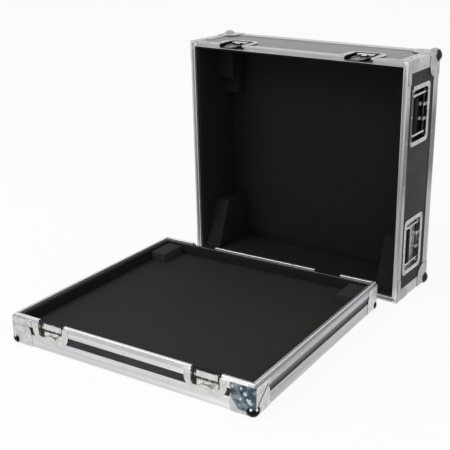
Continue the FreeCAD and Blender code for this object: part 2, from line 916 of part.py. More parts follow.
def tray_nodes():
    board_top = tray_h - sheet_t - board_gap
    left_board = end_board(board_top)
    bed = bed_foam(floor_foam_t)
    blocks = tray_blocks()
    nodes = {
        "tray_floor_panel": [closed_board()],
        "tray_front_panel": [long_board("front", board_top, tray_h, keeper_pocket_l)],
        "tray_back_panel": [long_board("back", board_top, tray_h, keeper_pocket_l)],
        "tray_end_panels": [left_board, other_side(left_board)],
        "tray_base_angles": base_angles(tray_ball_r),
        "tray_corner_angles": four_corners(upright_angle(tray_h, tray_ball_r)),
        "tray_rim": rim_bars(tongue_section(), tray_h),
        "tray_ball_corners": four_corners(ball_corner(tray_corner_h, tray_ball_r)),
        "tray_rim_braces": rim_braces(tray_h, closing_face - brace_edge, closing_face),
        "tray_floor_foam": [bed.cut(blocks)],
        "tray_wall_foam": wall_foams(tray_h - foam_below_rim),
        "tray_foam_blocks": blocks,
    }
    for place, frame in latch_frames(tray_h).items():
        nodes["keeper_" + place] = [placed(s, frame) for s in keeper()]
    return nodes


def lid_nodes():
    board_top = lid_h - groove_h - sheet_t - board_gap
    end_wall = end_board(board_top)
    end_walls = [end_wall, other_side(end_wall)]
    foam_top = lid_h - groove_h - sheet_t - foam_below_rim
    half_l = handle_pocket_l / 2 + press_t + notch_gap
    half_w = handle_pocket_w / 2 + press_t + notch_gap
    bottom = handle_floor - press_t - notch_gap
    hole = plate(rectangle(-half_l, half_l, -half_w, half_w, handle_pocket_r), bottom, over)
    holes = [placed(hole, frame) for frame in handle_frames().values()]
    end_walls = [wall.cut(holes) for wall in end_walls]
    end_foams = end_foam(foam_top, half_l, half_w, -bottom)
    nodes = {
        "lid_top_panel": [closed_board()],
        "lid_front_panel": [long_board("front", board_top, lid_h, latch_pocket_l)],
        "lid_back_panel": [long_board("back", board_top, lid_h, latch_pocket_l)],
        "lid_left_panel": [end_walls[0]],
        "lid_right_panel": [end_walls[1]],
        "lid_top_angles": base_angles(lid_ball_r),
        "lid_corner_angles": four_corners(upright_angle(lid_h, lid_ball_r)),
        "lid_rim": rim_bars(groove_section(), lid_h),
        "lid_ball_corners": four_corners(ball_corner(over * 2, lid_ball_r)),
        "lid_rim_braces": rim_braces(lid_h, closing_face - brace_edge, brace_drop),
        "lid_top_foam": [bed_foam(foam_t)],
        "lid_wall_foam": wall_foams(foam_top)[:2],
        "lid_end_foam": end_foams + [other_side(foam) for foam in end_foams],
        "lid_slope_blocks": slope_blocks(),
        "lid_step_blocks": step_blocks(),
    }
    pins = []
    for place, frame in handle_frames().items():
        nodes["handle_dish_" + place] = [placed(handle_dish(), frame)]
        nodes["handle_bail_" + place] = [placed(handle_bail(), frame)]
        nodes["handle_grip_" + place] = [placed(handle_grip(), frame)]
        pins.append(placed(handle_pin(), frame))
    nodes["handle_pins"] = pins
    for place, frame in latch_frames(lid_h).items():
        nodes["latch_dish_" + place] = [placed(latch_dish(), frame)]
        nodes["latch_hook_" + place] = [placed(latch_hook(), frame)]
        nodes["latch_spindle_" + place] = [placed(latch_spindle(), frame)]
        nodes["latch_wing_" + place] = [placed(latch_wing(), frame)]
    return nodes


def export(name, shapes, place):
    solids = []
    for shape in shapes:
        solids.extend(placed(shape, place).Solids)
    whole = Part.makeCompound(solids) if len(solids) > 1 else solids[0]
    whole.exportStep(os.path.join("parts", name + ".step"))
    volume = sum(s.Volume for s in solids) / 1000
    print(f"{name}: {len(solids)} solids, {volume:.1f} cm3, valid {whole.isValid()}")


def main():
    os.makedirs("parts", exist_ok=True)
    for name, shapes in tray_nodes().items():
        export(name, shapes, tray_place)
    for name, shapes in lid_nodes().items():
        export(name, shapes, lid_place)


main()
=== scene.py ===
import bmesh
import bpy
import math
from mathutils import Matrix, Vector, noise


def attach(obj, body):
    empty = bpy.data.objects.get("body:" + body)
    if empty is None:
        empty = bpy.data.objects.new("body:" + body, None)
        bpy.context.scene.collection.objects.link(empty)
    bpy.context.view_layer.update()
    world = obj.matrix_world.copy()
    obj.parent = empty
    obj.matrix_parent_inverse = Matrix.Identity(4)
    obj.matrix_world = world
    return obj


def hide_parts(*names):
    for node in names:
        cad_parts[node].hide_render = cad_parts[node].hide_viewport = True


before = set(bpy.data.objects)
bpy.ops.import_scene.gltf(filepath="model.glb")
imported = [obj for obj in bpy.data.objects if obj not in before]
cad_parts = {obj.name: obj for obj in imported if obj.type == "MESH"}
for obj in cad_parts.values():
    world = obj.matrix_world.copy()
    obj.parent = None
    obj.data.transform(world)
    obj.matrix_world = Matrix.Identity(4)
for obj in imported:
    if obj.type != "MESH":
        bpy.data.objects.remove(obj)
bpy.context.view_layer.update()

# Mixer flight case: an open tray on the floor and its lid standing behind it.
# Sizes are in millimetres and become metres through mm(). Each half is worked
# out lying on its closed face (closed face z = 0, rim at z = height), and is
# then put in place by trayPlace or lidPlace.

case = {
    "width": 700, "depth": 672, "trayHeight": 71, "lidHeight": 195,
    "sheet": 1.5, "board": 9, "foam": 10, "trayBall": 15.5, "lidBall": 19.5,
    "ballInset": 10.7, "braceThickness": 1.6, "braceEdge": 1, "frontLatch": 126, "backLatch": 146,
}
width = case["width"]
depth = case["depth"]
standing = {"shiftX": 38, "gapY": 118, "turnDegrees": -4.6}


def mm(value):
    return value * 0.001


def at(x, y, z):
    return Vector((mm(x), mm(y), mm(z)))


def frameAt(origin, xWay, yWay):
    xWay = Vector(xWay)
    yWay = Vector(yWay)
    turn = Matrix((xWay, yWay, xWay.cross(yWay))).transposed().to_4x4()
    return Matrix.Translation(origin) @ turn


def findLidPlace():
    run = case["lidHeight"] - case["braceEdge"] - case["ballInset"]
    rise = case["ballInset"] + case["braceThickness"]
    lean = math.asin(case["lidBall"] / math.hypot(run, rise)) - math.atan2(rise, run)
    turn = Matrix.Rotation(math.radians(standing["turnDegrees"]), 4, "Z")
    both = turn @ Matrix.Rotation(math.radians(90) + lean, 4, "X")
    rimCorner = both @ at(0, 0, case["lidHeight"])
    ball = both @ at(0, case["ballInset"], case["ballInset"])
    cornerX = mm(standing["shiftX"] - width / 2)
    cornerY = mm(standing["gapY"] + depth / 2)
    move = Vector((cornerX - rimCorner.x, cornerY - rimCorner.y, mm(case["lidBall"]) - ball.z))
    return Matrix.Translation(move) @ both


trayPlace = Matrix.Translation(at(-width / 2, -depth / 2, case["trayBall"] - case["ballInset"]))
lidPlace = findLidPlace()
boardIn = case["sheet"] + case["board"]
wallIn = boardIn + case["sheet"]
foamIn = wallIn + case["foam"]


# node trees

def nodeIn(tree, kind, **settings):
    node = tree.nodes.new(kind)
    for name, value in settings.items():
        setattr(node, name, value)
    return node


def feed(tree, socket, value):
    if isinstance(value, bpy.types.NodeSocket):
        tree.links.new(value, socket)
    else:
        socket.default_value = value


def calc(tree, operation, first, second=0.0, clamp=False):
    node = nodeIn(tree, "ShaderNodeMath", operation=operation, use_clamp=clamp)
    feed(tree, node.inputs[0], first)
    feed(tree, node.inputs[1], second)
    return node.outputs[0]


def vectorCalc(tree, operation, first, second=None):
    node = nodeIn(tree, "ShaderNodeVectorMath", operation=operation)
    feed(tree, node.inputs[0], first)
    if second is not None:
        feed(tree, node.inputs[1], second)
    return node.outputs["Value" if operation in ("LENGTH", "DISTANCE") else "Vector"]


def noiseOf(tree, vector, scale, detail=2.0, roughness=0.5):
    node = nodeIn(tree, "ShaderNodeTexNoise")
    feed(tree, node.inputs["Vector"], vector)
    feed(tree, node.inputs["Scale"], scale)
    node.inputs["Detail"].default_value = detail
    node.inputs["Roughness"].default_value = roughness
    return node.outputs["Fac"]


def cellsOf(tree, vector, scale, feature="F1"):
    node = nodeIn(tree, "ShaderNodeTexVoronoi", feature=feature)
    feed(tree, node.inputs["Vector"], vector)
    feed(tree, node.inputs["Scale"], scale)
    return node.outputs["Distance"]


def ranged(tree, value, low, high, toLow=0.0, toHigh=1.0):
    node = nodeIn(tree, "ShaderNodeMapRange", clamp=True)
    for socket, amount in zip(node.inputs, (value, low, high, toLow, toHigh)):
        feed(tree, socket, amount)
    return node.outputs[0]


def mixColours(tree, factor, first, second):
    node = nodeIn(tree, "ShaderNodeMix", data_type="RGBA")
    feed(tree, node.inputs[0], factor)
    feed(tree, node.inputs[6], first)
    feed(tree, node.inputs[7], second)
    return node.outputs[2]


def mixValues(tree, factor, first, second):
    node = nodeIn(tree, "ShaderNodeMix", data_type="FLOAT")
    feed(tree, node.inputs[0], factor)
    feed(tree, node.inputs[2], first)
    feed(tree, node.inputs[3], second)
    return node.outputs[0]


def newGroup(name, inputs, outputs):
    # an input's kind follows its value: none for a vector, a tuple for a colour
    group = bpy.data.node_groups.new(name, "ShaderNodeTree")
    for label, value in [("Vector", None)] + inputs:
        kind = "Vector" if value is None else "Color" if isinstance(value, tuple) else "Float"
        socket = group.interface.new_socket(label, in_out="INPUT", socket_type="NodeSocket" + kind)
        if value is not None:
            socket.default_value = value
    for label in outputs:
        kind = "Color" if label == "Color" else "Float"
        group.interface.new_socket(label, in_out="OUTPUT", socket_type="NodeSocket" + kind)
    given = group.nodes.new("NodeGroupInput").outputs
    return group, given, group.nodes.new("NodeGroupOutput").inputs


def separated(tree, vector):
    node = nodeIn(tree, "ShaderNodeSeparateXYZ")
    feed(tree, node.inputs[0], vector)
    return node.outputs


def placeGroup(tree, group, vector, **values):
    node = nodeIn(tree, "ShaderNodeGroup", node_tree=group)
    tree.links.new(vector, node.inputs["Vector"])
    for name, value in values.items():
        feed(tree, node.inputs[name], value)
    return node.outputs


def giveOut(tree, end, *values):
    for socket, value in zip(end, values):
        tree.links.new(value, socket)


def product(tree, first, *others):
    for other in others:
        first = calc(tree, "MULTIPLY", first, other)
    return first


# effects that several materials share

def sideDepthGroup():
    # how far in a point lies from the ends, from the front and back, and from the nearest
    tree, given, end = newGroup("sideDepths", [
        ("Half Width", mm(width / 2)), ("Half Depth", mm(depth / 2))],
        ("In X", "In Y", "Nearest"))
    split = separated(tree, given["Vector"])
    inX = calc(tree, "SUBTRACT", given["Half Width"], calc(tree, "ABSOLUTE", split[0]))
    inY = calc(tree, "SUBTRACT", given["Half Depth"], calc(tree, "ABSOLUTE", split[1]))
    giveOut(tree, end, inX, inY, calc(tree, "MINIMUM", inX, inY))
    return tree


def spotGroup():
    # a round mask about a point
    tree, given, end = newGroup("roundSpot", [("Centre", None), ("Radius", 0.01), ("Soft", 0.001)], ("Mask",))
    away = vectorCalc(tree, "DISTANCE", given["Vector"], given["Centre"])
    outer = calc(tree, "ADD", given["Radius"], given["Soft"])
    giveOut(tree, end, ranged(tree, away, given["Radius"], outer, 1.0, 0.0))
    return tree


def boxGroup():
    # a mask that is full inside a box and fades outside it, over its own width on each axis
    tree, given, end = newGroup("boxSpot", [("Centre", None), ("Half", None), ("Soft", None)], ("Mask",))
    away = vectorCalc(tree, "SUBTRACT", given["Vector"], given["Centre"])
    outside = vectorCalc(tree, "SUBTRACT", vectorCalc(tree, "ABSOLUTE", away), given["Half"])
    split = separated(tree, vectorCalc(tree, "DIVIDE", outside, given["Soft"]))
    most = calc(tree, "MAXIMUM", calc(tree, "MAXIMUM", split[0], split[1]), split[2])
    giveOut(tree, end, ranged(tree, most, 0.0, 1.0, 1.0, 0.0))
    return tree


barGrain = {"leg": 0.033, "scale": 900.0, "squeeze": 0.985, "toneScale": 0.14}


def barGrainGroup():
    # drawn grain that runs along each bar of a frame, changing at the mitres
    tree, given, end = newGroup("barGrain", [("Leg", barGrain["leg"]), ("Scale", barGrain["scale"])],
                                ("Grain", "Tone"))
    split = separated(tree, given["Vector"])
    depths = placeGroup(tree, depthNodes, given["Vector"])
    inX = depths["In X"]
    inY = depths["In Y"]
    leg = given["Leg"]
    upright = product(tree, calc(tree, "LESS_THAN", inX, leg), calc(tree, "LESS_THAN", inY, leg),
                      calc(tree, "GREATER_THAN", split[2], depths["Nearest"]))
    alongX = calc(tree, "LESS_THAN", inY, inX)
    flat = calc(tree, "SUBTRACT", 1.0, upright)
    xShare = product(tree, alongX, flat)
    yShare = product(tree, calc(tree, "SUBTRACT", 1.0, alongX), flat)
    squeeze = [calc(tree, "SUBTRACT", 1.0, product(tree, share, barGrain["squeeze"]))
               for share in (xShare, yShare, upright)]
    joined = nodeIn(tree, "ShaderNodeCombineXYZ")
    for index in range(3):
        tree.links.new(product(tree, split[index], squeeze[index]), joined.inputs[index])
    fine = noiseOf(tree, joined.outputs[0], given["Scale"], 3.0, 0.6)
    toneScale = product(tree, given["Scale"], barGrain["toneScale"])
    giveOut(tree, end, fine, noiseOf(tree, joined.outputs[0], toneScale, 2.0))
    return tree


scuffing = {"scale": 60.0, "turns": ((0.3, 0.9, 0.2), (1.1, 0.2, 0.8), (0.7, 0.5, 2.1)), "stretch": 14.0,
            "thin": 0.012, "patchScale": 0.3, "patchFrom": 0.48, "patchTo": 0.66}


def scuffGroup():
    # fine scratches in a few directions, in patches
    tree, given, end = newGroup("handlingScuffs", [("Scale", scuffing["scale"]), ("Amount", 0.5)],
                                ("Scuffs", "Patches"))
    marks = 0.0
    for turn in scuffing["turns"]:
        mapping = nodeIn(tree, "ShaderNodeMapping")
        mapping.inputs["Rotation"].default_value = turn
        mapping.inputs["Scale"].default_value = (1.0, scuffing["stretch"], scuffing["stretch"])
        tree.links.new(given["Vector"], mapping.inputs["Vector"])
        lines = noiseOf(tree, mapping.outputs[0], given["Scale"], 1.0)
        offLine = calc(tree, "ABSOLUTE", calc(tree, "SUBTRACT", lines, 0.5))
        marks = calc(tree, "MAXIMUM", marks, ranged(tree, offLine, 0.0, scuffing["thin"], 1.0, 0.0))
    patchScale = product(tree, given["Scale"], scuffing["patchScale"])
    patches = noiseOf(tree, given["Vector"], patchScale, 3.0)
    gate = ranged(tree, patches, scuffing["patchFrom"], scuffing["patchTo"])
    giveOut(tree, end, product(tree, marks, gate, given["Amount"]), patches)
    return tree


cells = {"small": (0.12, 0.42), "large": (0.08, 0.3), "largeScale": 0.45, "cloudScale": 14.0}


def poreGroup():
    # open cells of cut foam: small dark pits of two sizes over a soft unevenness
    tree, given, end = newGroup("foamPores", [("Scale", 600.0)], ("Height", "Pits", "Cloud"))
    vector = given["Vector"]
    largeScale = product(tree, given["Scale"], cells["largeScale"])
    smallPits = ranged(tree, cellsOf(tree, vector, given["Scale"]), *cells["small"])
    largePits = ranged(tree, cellsOf(tree, vector, largeScale), *cells["large"])
    height = product(tree, smallPits, calc(tree, "ADD", product(tree, largePits, 0.5), 0.5))
    giveOut(tree, end, height, calc(tree, "SUBTRACT", 1.0, height),
            noiseOf(tree, vector, cells["cloudScale"], 3.0))
    return tree


clouds = {"scale": 45.0, "from": 0.35, "to": 0.65, "mottleScale": 14.0}


def platingGroup():
    # plated steel: soft clouds between a cool and a warm tone, with fine mottling
    tree, given, end = newGroup("platingTone", [
        ("Cool", (0.7, 0.72, 0.76, 1)), ("Warm", (0.78, 0.76, 0.7, 1)), ("Scale", clouds["scale"])],
        ("Color", "Mottle"))
    vector = given["Vector"]
    factor = ranged(tree, noiseOf(tree, vector, given["Scale"], 3.0), clouds["from"], clouds["to"])
    mottleScale = product(tree, given["Scale"], clouds["mottleScale"])
    giveOut(tree, end, mixColours(tree, factor, given["Cool"], given["Warm"]),
            noiseOf(tree, vector, mottleScale, 2.0))
    return tree


depthNodes = sideDepthGroup()
spotNodes = spotGroup()
boxNodes = boxGroup()
grainNodes = barGrainGroup()
scuffNodes = scuffGroup()
poreNodes = poreGroup()
platingNodes = platingGroup()


def startMaterial(name):
    material = bpy.data.materials.new(name)
    material.use_nodes = True
    tree = material.node_tree
    shader = tree.nodes["Principled BSDF"]
    coords = nodeIn(tree, "ShaderNodeTexCoord").outputs["Object"]
    return material, tree, shader, coords


def centredOn(tree, coords, place):
    # object coordinates turned into a half's own frame, centred on its middle
    centre = place @ Matrix.Translation(at(width / 2, depth / 2, 0))
    back = centre.inverted()
    mapping = nodeIn(tree, "ShaderNodeMapping")
    mapping.inputs["Rotation"].default_value = back.to_euler()
    mapping.inputs["Location"].default_value = back.to_translation()
    tree.links.new(coords, mapping.inputs["Vector"])
    return mapping.outputs[0]


def bumpInto(tree, shader, height, strengthAndDistance):
    bump = nodeIn(tree, "ShaderNodeBump")
    bump.inputs["Strength"].default_value, bump.inputs["Distance"].default_value = strengthAndDistance
    tree.links.new(height, bump.inputs["Height"])
    tree.links.new(bump.outputs[0], shader.inputs["Normal"])


def roughInto(tree, shader, base, scuffs, spreadBy):
    rough = calc(tree, "ADD", base, product(tree, scuffs["Patches"], spreadBy))
    tree.links.new(rough, shader.inputs["Roughness"])


# materials: colours are linear, lengths in metres on each half's centred frame;
# a shade (painted light and shade along an axis) is an axis, where it starts and ends, and how much it dims;
# a patch (painted light and shade in a box) is a box's centre, half size and softness, and how much it
# changes the tone; a bump is its strength and distance; "roughSpread" is how much rougher handled places are

finishesAndPaintedLight = {
    "trayAluminium": {
        "bright": (0.86, 0.865, 0.875, 1), "dim": (0.30, 0.302, 0.31, 1), "base": 0.44,
        "shades": [(0, -0.30, 0.10, -0.10), (0, 0.10, 0.30, -0.24), (0, 0.346, 0.3495, 0.60)],
        "patches": [((-0.10, -0.3275, 0.0695), (0.25, 0.0105, 0.003), (0.05, 0.001, 0.002), 0.28),
                    ((0.3405, 0, 0.0695), (0.0105, 0.33, 0.003), (0.001, 0.01, 0.002), 0.45)],
        "streaks": (-0.12, 0.16), "roughness": 0.3},
    # painted shade: the lid's aluminium is a darker copy of the tray's
    "lidAluminium": {
        "bright": (0.90, 0.904, 0.907, 1), "dim": (0.15, 0.15, 0.152, 1), "base": 0.65,
        "shades": [(0, -0.30, -0.34, 0.05), (1, 0.29, 0.33, -0.12), (1, -0.29, -0.33, -0.15)],
        "patches": [((-0.342, 0, 0.191), (0.0062, 0.34, 0.006), (0.001, 0.001, 0.001), -0.38),
                    ((0.342, 0, 0.191), (0.0062, 0.34, 0.006), (0.001, 0.001, 0.001), -0.44),
                    ((0.342, 0.14, 0.191), (0.0062, 0.12, 0.006), (0.001, 0.12, 0.001), 0.16),
                    ((0.352, 0.09, 0.10), (0.0028, 0.07, 0.12), (0.001, 0.08, 0.01), 0.36)],
        "streaks": (-0.072, 0.096), "roughness": 0.32},
    "allAluminium": {"metallic": 0.82, "roughSpread": 0.1, "scuffs": 0.6, "scuffTone": 0.5,
                     "scuffRough": 0.15, "scuffDepth": 0.8, "bump": (0.07, 0.0002)},
    "laminate": {"colour": (0.022, 0.023, 0.024, 1), "worn": (0.042, 0.043, 0.045, 1), "roughness": 0.55,
                 "specular": 0.14, "coat": 0.0},
    # partly dust, partly painted light: the lid's upper side has a lighter, glossier copy of the laminate
    "topLaminate": {"colour": (0.036, 0.036, 0.0355, 1), "worn": (0.054, 0.054, 0.053, 1), "roughness": 0.28,
                    "specular": 0.43, "coat": 0.19},
    "allLaminate": {"scuff": (0.10, 0.10, 0.10, 1), "pale": (1, 1, 1, 1), "pebbles": 520.0, "clouds": 9.0,
                    "roughSpread": 0.12, "coatRoughness": 0.15, "bump": (0.25, 0.0004)},
    "plating": {"scuff": (0.3, 0.3, 0.31, 1), "scuffScale": 130.0, "roughSpread": 0.14,
                "bump": (0.08, 0.0002)},
    # the tray's corners: "deep", "blotch" and the glints are a painted reflection with painted highlights on
    # the front right corner, "seam" is a painted shadow line; "blotch" also colours the scuffs
    "trayCorner": {"cool": (0.50, 0.51, 0.53, 1), "warm": (0.66, 0.665, 0.67, 1),
        "deep": (0.052, 0.086, 0.108, 1), "blotch": (0.34, 0.40, 0.43, 1),
        "glints": [(0.326, 0.051, 0.0030), (0.332, 0.038, 0.0022), (0.336, 0.034, 0.0024),
                   (0.340, 0.031, 0.0022)],
        "glint": (0.62, 0.67, 0.70, 1), "seam": (0.035, 0.037, 0.045, 1),
        "ball": (0.010, 0.010, 0.012, 1), "ballPale": (0.010, 0.010, 0.012, 1),
        "highlights": ((0.10, 0.87, 0.48), (0.80, 0.36, 0.46)), "roughness": 0.16},
    # painted shade: the lid's corners are a darker copy of the tray's, and their balls get a painted pale
    # side
    "lidCorner": {"cool": (0.30, 0.305, 0.31, 1), "warm": (0.44, 0.44, 0.44, 1),
        "deep": (0.30, 0.30, 0.30, 1), "blotch": (0.42, 0.42, 0.42, 1), "glints": [],
        "ball": (0.025, 0.025, 0.027, 1), "ballPale": (0.40, 0.40, 0.40, 1),
        "highlights": (), "roughness": 0.2},
    "allCorners": {"clouds": 60.0, "scuffScale": 120.0, "scuffTone": 0.4, "roughSpread": 0.12,
                   "bump": (0.06, 0.0002)},
    "rubber": {"colour": (0.0022, 0.0022, 0.0024, 1), "dust": (0.006, 0.006, 0.006, 1), "specular": 0.05,
               "clouds": 70.0, "grit": 1500.0, "smoothest": 0.5, "roughest": 0.66, "bump": (0.2, 0.0002)},
    # painted shade: the lid's foam, also used on the tray's walls, is a darker copy of the floor's and
    # blocks'
    "lidFoam": {"colour": (0.0105, 0.0103, 0.0102, 1), "pit": (0.004, 0.004, 0.004, 1), "pores": 620.0},
    # less light reaches the back of the tray's floor: from y, to y, and the shade at each
    "floorFoam": {"colour": (0.027, 0.0268, 0.0258, 1), "pit": (0.012, 0.012, 0.0115, 1), "pores": 560.0,
                  "shade": (-0.30, 0.25, 0.10, 0.55)},
    "blockFoam": {"colour": (0.030, 0.030, 0.029, 1), "pit": (0.012, 0.012, 0.0115, 1), "pores": 560.0},
    "allFoam": {"pale": 1.35, "specular": 0.15, "bump": (0.5, 0.0006)},
}
# painted sheen: a pale strip along the top of the tray's right side
finishesAndPaintedLight["trayLaminate"] = dict(finishesAndPaintedLight["laminate"], patches=[
    ((0.35, 0, 0.052), (0.006, 0.33, 0.002), (0.001, 0.01, 0.013), 0.2)])


def paintedLightPatch(tree, local, patch):
    centre, half, soft, share = patch
    mask = placeGroup(tree, boxNodes, local, Centre=centre, Half=half, Soft=soft)["Mask"]
    return product(tree, mask, share)


def dimness(tree, local, values):
    # how far a place is from the bright tone, from 0 to 1: painted light and shade by its place
    split = separated(tree, local)
    total = values["base"]
    for axis, low, high, share in values["shades"]:
        total = calc(tree, "ADD", total, ranged(tree, split[axis], low, high, 0.0, share), clamp=True)
    for patch in values["patches"]:
        total = calc(tree, "ADD", total, paintedLightPatch(tree, local, patch), clamp=True)
    return total


def aluminium(name, place):
    values = finishesAndPaintedLight[name]
    shared = finishesAndPaintedLight["allAluminium"]
    material, tree, shader, coords = startMaterial(name)
    local = centredOn(tree, coords, place)
    grain = placeGroup(tree, grainNodes, local)
    scuffs = placeGroup(tree, scuffNodes, local, Amount=shared["scuffs"])
    streaks = ranged(tree, grain["Tone"], 0.35, 0.68, *values["streaks"])
    # painted light and shade: the tone follows the painted dimness, with the grain's streaks on it
    dim = calc(tree, "ADD", dimness(tree, local, values), streaks, clamp=True)
    colour = mixColours(tree, dim, values["bright"], values["dim"])
    scuffTone = product(tree, scuffs["Scuffs"], shared["scuffTone"])
    tree.links.new(mixColours(tree, scuffTone, colour, values["dim"]), shader.inputs["Base Color"])
    base = calc(tree, "ADD", values["roughness"], product(tree, scuffs["Scuffs"], shared["scuffRough"]))
    roughInto(tree, shader, base, scuffs, shared["roughSpread"])
    shader.inputs["Metallic"].default_value = shared["metallic"]
    scratches = product(tree, scuffs["Scuffs"], shared["scuffDepth"])
    bumpInto(tree, shader, calc(tree, "SUBTRACT", grain["Grain"], scratches), shared["bump"])
    return material


def laminate(name, place, key):
    values = finishesAndPaintedLight[key]
    shared = finishesAndPaintedLight["allLaminate"]
    material, tree, shader, coords = startMaterial(name)
    local = centredOn(tree, coords, place)
    scuffs = placeGroup(tree, scuffNodes, local)
    wear = ranged(tree, noiseOf(tree, local, shared["clouds"], 3.0), 0.4, 0.75)
    colour = mixColours(tree, wear, values["colour"], values["worn"])
    colour = mixColours(tree, scuffs["Scuffs"], colour, shared["scuff"])
    # painted sheen where a laminate has patches
    for patch in values.get("patches", ()):
        colour = mixColours(tree, paintedLightPatch(tree, local, patch), colour, shared["pale"])
    tree.links.new(colour, shader.inputs["Base Color"])
    roughInto(tree, shader, values["roughness"], scuffs, shared["roughSpread"])
    shader.inputs["Specular IOR Level"].default_value = values["specular"]
    shader.inputs["Coat Weight"].default_value = values["coat"]
    shader.inputs["Coat Roughness"].default_value = shared["coatRoughness"]
    bumpInto(tree, shader, cellsOf(tree, local, shared["pebbles"], "SMOOTH_F1"), shared["bump"])
    return material


def plating(name, roughness, cool, warm, recess=None, place=None):
    # recess: a function that gives a pocket's deeper places, their tone of painted shade and how metallic
    # they are
    values = finishesAndPaintedLight["plating"]
    material, tree, shader, coords = startMaterial(name)
    tone = placeGroup(tree, platingNodes, coords, Cool=cool, Warm=warm)
    scuffs = placeGroup(tree, scuffNodes, coords, Scale=values["scuffScale"])
    colour = mixColours(tree, scuffs["Scuffs"], tone["Color"], values["scuff"])
    shader.inputs["Metallic"].default_value = 1.0
    if recess is not None:
        deep, deepTone, metallic = recess(tree, centredOn(tree, coords, place))
        colour = mixColours(tree, deep, colour, deepTone)
        tree.links.new(mixValues(tree, deep, 1.0, metallic), shader.inputs["Metallic"])
    tree.links.new(colour, shader.inputs["Base Color"])
    roughInto(tree, shader, roughness, scuffs, values["roughSpread"])
    bumpInto(tree, shader, tone["Mottle"], values["bump"])
    return material


# painted shade in the pockets of keepers, latches and handles, and painted light on the lower handles' floors
pockets = {
    "keeperFrom": 0.0079, "keeperTo": 0.0087, "keeperShade": (0.022, 0.026, 0.022, 1),
    "keeperFloor": (0.60, 0.60, 0.575, 1), "keeperMetal": 0.6, "strikeHalf": 0.0285, "streakScale": 170.0,
    "backEdgeLow": 0.0672, "backEdgeHigh": 0.0680, "lipShadowLow": 0.0455, "lipShadowHigh": 0.0485,
    "latchFrom": 0.001, "latchTo": 0.0025, "latchShade": (0.016, 0.016, 0.016, 1),
    "handleFrom": 0.0158, "handleTo": 0.0166, "handleShade": (0.012, 0.012, 0.012, 1), "handleMetal": 0.4,
    "handleFloor": (0.72, 0.72, 0.72, 1), "handleMiddle": 0.185, "strapMiddle": 0.020, "strapHalf": 0.0048,
    "wallFrom": 0.0022, "wallTo": 0.0030, "stripFrom": 0.1525, "stripTo": 0.158,
}


def keeperPocket(tree, local):
    # painted shade: the floor is dark beside the strike plate, and a painted shadow lies under its lip
    split = separated(tree, local)
    inward = placeGroup(tree, depthNodes, local)["In Y"]
    deep = ranged(tree, inward, pockets["keeperFrom"], pockets["keeperTo"])
    isBack = calc(tree, "GREATER_THAN", split[1], 0.0)
    middle = mixValues(tree, isBack, mm(width / 2 - case["frontLatch"]),
                       mm(width / 2 - case["backLatch"]))
    off = calc(tree, "ABSOLUTE", calc(tree, "SUBTRACT", calc(tree, "ABSOLUTE", split[0]), middle))
    beside = calc(tree, "GREATER_THAN", off, pockets["strikeHalf"])
    underLip = ranged(tree, split[2], pockets["lipShadowLow"], pockets["lipShadowHigh"])
    streaks = ranged(tree, noiseOf(tree, local, pockets["streakScale"], 2.0), 0.58, 0.68, 1.0, 0.35)
    dark = product(tree, calc(tree, "MAXIMUM", beside, underLip), streaks)
    # painted shade: the upper edge of the back ones is as dark as the board behind it
    edge = ranged(tree, split[2], pockets["backEdgeLow"], pockets["backEdgeHigh"])
    edge = product(tree, isBack, edge)
    dark = calc(tree, "MAXIMUM", dark, edge)
    deep = calc(tree, "MAXIMUM", deep, edge)
    tone = mixColours(tree, dark, pockets["keeperFloor"], pockets["keeperShade"])
    return deep, tone, pockets["keeperMetal"]


def latchPocket(tree, local):
    # painted shade: the latch's works stand in a pocket painted dark
    inward = placeGroup(tree, depthNodes, local)["In Y"]
    return ranged(tree, inward, pockets["latchFrom"], pockets["latchTo"]), pockets["latchShade"], 1.0


def handlePocket(tree, local):
    # painted shade on the upper handles: all but the straps, the flange's end and its outer side is dark;
    # painted light on the lower handles: the floor is pale
    split = separated(tree, local)
    upper = calc(tree, "GREATER_THAN", split[1], 0.0)
    inward = placeGroup(tree, depthNodes, local)["In X"]
    floor = ranged(tree, inward, pockets["handleFrom"], pockets["handleTo"])
    fromMiddle = calc(tree, "ABSOLUTE", calc(tree, "SUBTRACT", split[1], pockets["handleMiddle"]))
    fromStrap = calc(tree, "ABSOLUTE", calc(tree, "SUBTRACT", fromMiddle, pockets["strapMiddle"]))
    wall = ranged(tree, inward, pockets["wallFrom"], pockets["wallTo"])
    bare = calc(tree, "GREATER_THAN", fromStrap, pockets["strapHalf"])
    strip = ranged(tree, split[2], pockets["stripFrom"], pockets["stripTo"])
    shaded = calc(tree, "MAXIMUM", product(tree, wall, bare), strip)
    deep = mixValues(tree, upper, floor, calc(tree, "MAXIMUM", shaded, floor))
    tone = mixColours(tree, upper, pockets["handleFloor"], pockets["handleShade"])
    return deep, tone, pockets["handleMetal"]


# the balls carry a painted reflection: a dark colour with a painted pale side, painted highlights, and a thin
# painted dark ring on the plate about each
balls = {"soft": 0.0008, "ring": 0.4, "highlightRadius": 0.0026, "highlight": (0.8, 0.8, 0.8, 1),
         "darkShares": (0.42, 0.6)}
# where the front right corner's plates carry a painted dark reflection, and the painted shadow line on its
# end side
plates = {"proud": 0.0016, "zoneFrom": 0.284, "zoneTo": 0.290, "frontFrom": -0.331, "frontTo": -0.3345,
          "lowFrom": 0.007, "lowTo": 0.012, "cutSlope": 1.44, "cutFrom": 0.449, "cutTo": 0.459,
          "blotchScale": 60.0, "blotchFrom": 0.46, "blotchTo": 0.74,
          "seamSlope": 0.833, "seamStart": 0.0142, "seamHalf": 0.0022, "seamSoft": 0.0022,
          "seamFrom": 0.004, "seamTo": 0.008, "seamLength": 0.055}


